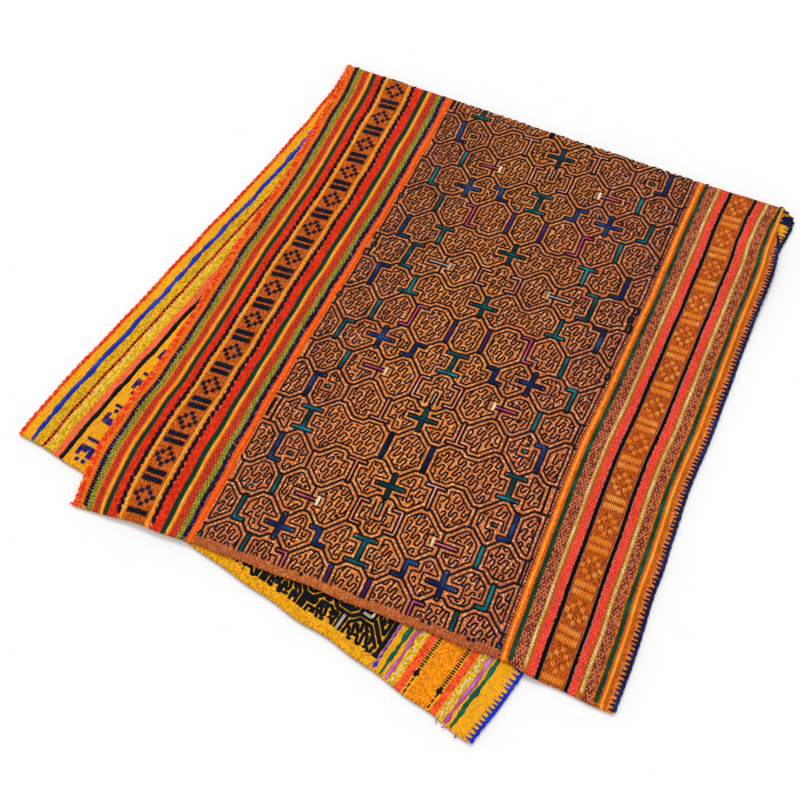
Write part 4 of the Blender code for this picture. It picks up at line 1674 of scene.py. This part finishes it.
def edgeStitches(look):
    pick = np.random.default_rng(41)
    thickness, half = cloth["bandThickness"], cloth["halfLength"]
    overcastEnd, blanketEnd, cordEnd = look["ends"]
    overcast, blanket, blue = [], [], []
    for v in strides(pick, -half + overcastEnd, half - overcastEnd, look["overcastPitch"], 0.8, 1.2):
        # groups of stitches pull the edge into small scallops
        scallop = math.sin(2 * math.pi * v / look["scallop"] + 2 * softNoise(v, 0, 0.05, 42))
        path = wrapStitch(0.0, 1, v, look["overcastFace"] * (pick.uniform(0.85, 1.15) + 0.12 * scallop),
                          look["overcastReverse"] * pick.uniform(0.8, 1.2),
                          0.0014 * pick.uniform(0.2, 1.6), thickness, look["out"] * (1.3 + 0.9 * scallop))
        lump = pick.uniform(0.85, 1.15) + 0.16 * scallop
        overcast.append(np.column_stack([path, lump * np.array(look["overcastFullness"])]))
    crest = cloth["crest"][1]
    for v in strides(pick, -half + blanketEnd, half - blanketEnd, look["blanketPitch"], 0.85, 1.15):
        depth = look["blanketDepth"] * pick.uniform(0.8, 1.15)
        path = wrapStitch(edgeLines[3], -1, v, depth, depth * pick.uniform(0.9, 1.1),
                          0.0008 * pick.uniform(-0.5, 1.2), thickness, look["out"])
        if not crest < v < crest + look["tucked"]:
            (blue if v < look["blueFrom"] else blanket).append(
                np.column_stack([path, look["blanketFullness"]]))
    v = np.arange(-half + cordEnd, half - cordEnd, look["cordStep"])
    count = len(v)
    u = edgeLines[3] + 0.0007 + 0.0004 * np.sin(np.arange(count) * 2.1)
    fullness = 1.0 + 0.14 * np.sin(np.arange(count) * 1.9) + pick.uniform(-0.12, 0.12, count)
    cord = withLift(np.column_stack([u, v]), -thickness / 2, fullness)
    below, above = look["cordGap"]
    blueEnd, gapStart, gapEnd = np.searchsorted(v, (look["blueFrom"], crest - below, crest + above))
    return overcast, blanket, blue, [cord[blueEnd:gapStart], cord[gapEnd:]], [cord[:blueEnd + 1]]


for (node, name, colour, width, flatness, sides), lines in zip((
        ("left_band", "overcastStitches", "redOrange", edgeLook["overcastWidth"], 0.55, 5),
        ("right_band", "blanketStitches", "edgeNavy", edgeLook["blanketWidth"], 0.6, 5),
        ("right_band", "blueStitches", "royal", edgeLook["blanketWidth"], 0.6, 5),
        ("right_band", "edgeCord", "edgeNavy", edgeLook["cordWidth"], 0.9, 6),
        ("right_band", "blueCord", "royal", edgeLook["cordWidth"], 0.9, 6)), edgeStitches(edgeLook)):
    addSewing(node, name, lines, colour, width, width * flatness, sides=sides, roundYarn=True)


# seams: small stitches that draw the widths together
seamLook = {
    "reach": 0.742,
    "pitch": 0.0042,
    "stray": 0.0004,
    "height": 0.0009,
    # yarn, width, which point of a stitch strays, and its points: u, step along and lift
    "left": ("orange", 0.0013, 2,
             ((0.1642, 0.0, 0.0002), (0.1652, 0.0008, 0.0006), (0.1664, 0.0018, 0.0001))),
    "right": ("violet", 0.0014, 1,
              ((0.5234, 0.0, 0.0001), (0.5244, 0.001, 0.0005), (0.5256, 0.002, 0.0003))),
}
for side in ("left", "right"):
    colour, width, strayed, spots = seamLook[side]
    pick = np.random.default_rng(51)
    stitches = []
    for v in np.arange(-seamLook["reach"], seamLook["reach"], seamLook["pitch"]):
        stitch = np.array(spots)
        stitch[:, 1] += v
        stitch[strayed, 1] += pick.uniform(-seamLook["stray"], seamLook["stray"])
        stitches.append(stitch)
    addSewing(side + "_band", side + "SeamStitches", stitches, colour, width, seamLook["height"])


# the reverse of the under layer: only where it can be seen past the upper layer
reverseLook = {
    "margin": 0.018,
    "plainHem": 0.012,
    "wallWidth": 0.005,
    "lineWidth": 0.0041,
    "lift": 0.0003,
    "start": 0.0015,  # from the hem to the first float of a long line
    # middle, width, sway, unevenness and yarn of the long lines, and whether they are rough floats
    "left_band": ((0.0196, 0.0066, 0.0009, 0.3, "royal", True),
                  (0.0382, 0.0034, 0.0004, 0.2, "crimson", True),
                  # the thin bright yellow line is a painted highlight along the olive stripe
                  (0.0452, 0.0013, 0.0005, 0.2, "brightYellow", False),
                  (0.0675, 0.006, 0.0006, 0.14, "black", False)),
    "right_band": ((0.5372, 0.0046, 0.0008, 0.45, "pine", True),
                   (0.5457, 0.0046, 0.0014, 0.45, "lilac", True),
                   (0.6268, 0.0044, 0.0014, 0.45, "lilac", True),
                   (0.6338, 0.0046, 0.0008, 0.45, "pine", True)),
    # middle, width across, pitch, thread width and where the knot sits that ends the row
    "rightTicks": ((0.57, 0.0046, 0.003, 0.0021, -0.7215), (0.6018, 0.0046, 0.003, 0.0021, -0.7235)),
    # node, middle, sway, pitch, width and yarn of the dashes
    "dashes": (("right_band", 0.553, 0.0024, 0.0056, 0.0021, "white"),
               ("right_band", 0.6185, 0.0024, 0.0056, 0.0021, "white"),
               ("left_band", 0.0382, 0.0009, 0.0085, 0.0026, "black")),
    # from each knot's middle, across and along
    "knot": ((-0.0034, 0.001), (0.0005, -0.0018), (0.003, 0.0008), (-0.0008, 0.0022), (-0.002, -0.0016)),
    # the floats on the fold's right corner: from and to, stray, slant, reach from the crest and how many
    "cornerFrom": 0.644,
    "cornerTo": 0.66,
    "cornerStray": 0.0024,
    "cornerSlant": 0.0012,
    "cornerReach": (0.015, 0.013),
    "cornerCount": 9,
    # the seam's own threads: middle, zigzag, first step along, yarn and width
    "seamThreads": (("seamLilac", 0.5254, 0.0006, 0.0, "lilac", 0.0019),
                    ("seamBlue", 0.5266, -0.0006, 0.0015, "royal", 0.0015)),
    "seamReach": (0.003, 0.16, 0.0045),
    "seamKnot": (0.527, 0.005),
}


def seenFromAbove(u, v, margin):
    # whether the under layer shows there: left of, below or, at the turned-in corner, right of the upper one
    place = clothPlace(u, v)
    x, y = place[:, 0] - cloth["corner"][0], place[:, 1] - cloth["corner"][1]
    along = np.clip(y / cloth["upperHemY"][0], 0, 1)
    edges = smoothColumns(cloth["upper"], along)
    hemY = np.interp(x, cloth["upper"][-1][1:], cloth["upperHemY"])
    past = (x < edges[:, 0] + margin) | (y < hemY + margin) | (x > edges[:, 3] - margin)
    return past & (v < crestAt(u) - cloth["layerStart"])


def seenRuns(paths, margin, lastV):
    # the stretches of the paths that show
    runs = []
    for path, closed in asPairs(paths):
        if path[:, 1].min() > 0.05:
            continue
        line = np.vstack([path, path[:1]]) if closed else path
        seen = seenFromAbove(line[:, 0], line[:, 1], margin) & (line[:, 1] > lastV)
        runs += [line[start:end] for start, end in stretches(seen) if end - start > 1]
    return runs


def onReverse(paths, thickness, lift):
    turned = [path.copy() for path in paths]
    for path in turned:
        path[:, 2] = -thickness - lift
    return turned


def raggedLine(place, sway, uneven, seed):
    v = np.arange(-cloth["halfLength"] + reverseLook["start"], 0.01, 0.003)
    pick = np.random.default_rng(seed)
    u = place + sway * softNoise(v, v * 0, 0.045, seed) + pick.uniform(-0.25, 0.25, len(v)) * sway
    fullness = 1 + uneven * softNoise(v, v * 0, 0.03, seed + 7) + pick.uniform(-0.5, 0.5, len(v)) * uneven
    return [withLift(np.column_stack([u, v]), 0.0, np.clip(fullness, 0.3, 1.8))]


def roughLine(place, sway, uneven, seed):
    pick = np.random.default_rng(seed)
    floats = []
    v = -cloth["halfLength"] + reverseLook["start"]
    while v < 0.01:
        length = pick.uniform(0.0045, 0.009)
        swell = 1 + uneven * (0.6 * softNoise(v, 0, 0.04, seed) + pick.uniform(-0.7, 0.7))
        u = place + sway * (0.7 * softNoise(v, 0, 0.06, seed + 3) + pick.uniform(-0.4, 0.4))
        path = roundedFloat((u, v), (u + pick.uniform(-0.5, 0.5) * sway, v + length), 0.0, 0.85)
        path[:, 3] *= max(swell, 0.5)
        floats.append(path)
        v += length * 0.58
    return floats


def tickRow(place, reach, pitch, start, seed):
    pick = np.random.default_rng(seed)
    ticks = []
    for v in strides(pick, start, 0, pitch, 0.9, 1.1):
        half = reach / 2 * pick.uniform(0.8, 1.1)
        slant = pick.uniform(-0.0004, 0.0004)
        ticks.append(roundedFloat((place - half, v), (place + half, v + slant), 0.0, 0.8))
    return ticks


def dashRow(place, sway, pitch, seed):
    pick = np.random.default_rng(seed)
    dashes = []
    for v in strides(pick, -cloth["halfLength"] + 0.003, 0, pitch, 0.4, 1.2):
        u = place + pick.uniform(-sway, sway)
        length = pick.uniform(0.0018, 0.0052)
        dashes.append(roundedFloat((u, v), (u + pick.uniform(-0.0008, 0.0008), v + length), 0.0, 0.6))
    return dashes


def knotAt(u, v):
    knot = [roundedFloat((u + du, v + dv), (u - du * 0.4, v + dv + 0.0046), 0.0, 0.6)
            for du, dv in reverseLook["knot"]]
    for path in knot:
        path[:, 3] *= 1.5
    return knot


def sewReverse(look):
    thickness = cloth["bandThickness"]
    margin = look["margin"]
    hem = -cloth["halfLength"]

    def add(node, name, paths, colour, width, height=0.0012, edge=0.0, wobble=0.0, lift=look["lift"]):
        seen = seenRuns(paths, margin, hem + edge)
        depth = cloth["centreThickness"] + cloth["hemExtra"] * 0.5 if node == "centre_panel" else thickness
        addSewing(node, name, onReverse(seen, depth, lift), colour, width, height, wobble=wobble)

    for node in ("left_band", "right_band"):
        for number, (place, width, sway, uneven, colour, rough) in enumerate(look[node]):
            lines = (roughLine if rough else raggedLine)(place, sway, uneven, 80 + number)
            add(node, f"{node}Reverse{number}", lines, colour, width)
    for number, (place, reach, pitch, width, knot) in enumerate(look["rightTicks"]):
        ticks = tickRow(place, reach, pitch, knot + 0.004, 91 + number) + knotAt(place, knot)
        ticks += [roundedFloat((place, v), (place + 0.0004, v + 0.005), 0.0, 0.8)
                  for v in np.arange(hem + 0.002, knot - 0.003, 0.0066)]
        add("right_band", f"rightReverseTicks{number}", ticks, "black", width)
    for number, (node, place, sway, pitch, width, colour) in enumerate(look["dashes"]):
        add(node, f"reverseDashes{number}", dashRow(place, sway, pitch, 94 + number), colour, width,
            lift=0.0006)
    crest = cloth["crest"][1]
    below, above = look["cornerReach"]
    knots = []
    for row, v in enumerate(np.linspace(crest - below, crest + above, look["cornerCount"])):
        start = (look["cornerFrom"] + look["cornerStray"] * (row % 2), v, 0.0)
        knots.append(evenPoints(np.array([start, (look["cornerTo"], v + look["cornerSlant"], 0.0)]), 0.004))
    addSewing("right_band", "cornerKnots", onReverse(knots, thickness, 0.0005), "edgeNavy", 0.004, 0.0012)
    add("left_band", "reverseMotifs", motifFloats(motifLook["reverse"], 0.0, 33, 0.8), "reversePurple",
        motifLook["reverse"]["floatWidth"])
    for name, lines, width, height in (("reverseWalls", thickLines + rimLines, look["wallWidth"], 0.0014),
                                       ("reverseLines", thinLines + fillLines, look["lineWidth"], 0.0013)):
        lines = [(withLift(line, 0), closed) for line, closed in lines]
        add("centre_panel", name, lines, "black", width, height, look["plainHem"], 0.0009)
    pale = [withLift(line, 0) for (colour, count), group in coreLines.items()
            for line, _ in group if colour in ("white", "teal", "cream")]
    add("centre_panel", "reverseMarks", pale, "white", 0.0019, 0.0018, look["plainHem"])
    # the seam's own threads are drawn in a loose zigzag
    start, end, step = look["seamReach"]
    v = np.arange(hem + start, hem + end, step)
    turns = np.where(np.arange(len(v)) % 2 == 0, 1, -1)
    for name, place, zigzag, shift, colour, width in look["seamThreads"]:
        lines = [withLift(np.column_stack([place + zigzag * turns, v + shift]), 0.0)]
        if name == "seamBlue":
            lines += knotAt(look["seamKnot"][0], hem + look["seamKnot"][1])
        add("right_band", name, lines, colour, width)


sewReverse(reverseLook)


# whip stitches over the hems, and a few loose ends
hemLook = {"pitch": 0.0062, "width": 0.001, "reach": 0.0024}
# node, yarn, width and places on the flat cloth
looseEnds = (
    ("left_band", "redOrange", 0.002,
     ((0.002, 0.743), (-0.0016, 0.744), (-0.0036, 0.7424), (-0.0054, 0.7434))),
    ("right_band", "hem", 0.0011, ((0.618, -0.744), (0.6172, -0.7472), (0.619, -0.7496))),
    ("right_band", "lilac", 0.0012, ((0.627, -0.7436), (0.6284, -0.747), (0.6262, -0.7492))),
    ("right_band", "black", 0.0011, ((0.642, -0.744), (0.6446, -0.747), (0.6432, -0.749))),
)


def hemStitches(look, low, high, thickness, seed):
    pick = np.random.default_rng(seed)
    half = cloth["halfLength"]
    stitches = []
    for sign in (-1, 1):
        for u in strides(pick, low + look["pitch"] / 2, high, look["pitch"], 0.7, 1.3):
            reach = look["reach"] * pick.uniform(0.7, 1.2)
            stitches.append(np.array([
                (u, sign * (half - reach), 0.0001), (u + 0.0006, sign * (half - 0.001), 0.0004),
                (u + 0.001, sign * (half + 0.0004), -thickness / 2),
                (u + 0.0014, sign * (half - 0.0012), -thickness - 0.0003),
                (u + 0.0018, sign * (half - reach), -thickness - 0.0001)]))
    return stitches


for number, (node, low, high, thickness) in enumerate((
        ("left_band", 0.002, edgeLines[1] - 0.002, cloth["bandThickness"]),
        ("centre_panel", edgeLines[1] + 0.002, edgeLines[2] - 0.002,
         cloth["centreThickness"] + cloth["hemExtra"]),
        ("right_band", edgeLines[2] + 0.002, edgeLines[3] - 0.003, cloth["bandThickness"]))):
    addSewing(node, f"{node}HemStitches", hemStitches(hemLook, low, high, thickness, 70 + number), "hem",
              hemLook["width"], hemLook["width"] * 0.8, roundYarn=True)
for number, (node, colour, width, spots) in enumerate(looseEnds):
    path = withLift(evenPoints(np.array(spots), 0.0012), -cloth["bandThickness"] / 2)
    addSewing(node, f"looseEnd{number}", [path], colour, width, width, sides=5, roundYarn=True)


# what each piece rides on and replaces
for node, sheetPiece, slotName, width in (("left_band", leftSheet, "left_band_cloth", 0.165),
                                          ("centre_panel", centreSheet, "centre_cloth", 0.36),
                                          ("right_band", rightSheet, "right_band_cloth", 0.135)):
    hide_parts(node)
    for piece in [sheetPiece] + pieces[node]:
        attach(piece, "root")
    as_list(pieces[node])

total = sum(len(piece.data.loop_triangles) for group in pieces.values() for piece in group)
print("sewing has", total, "triangles in all")
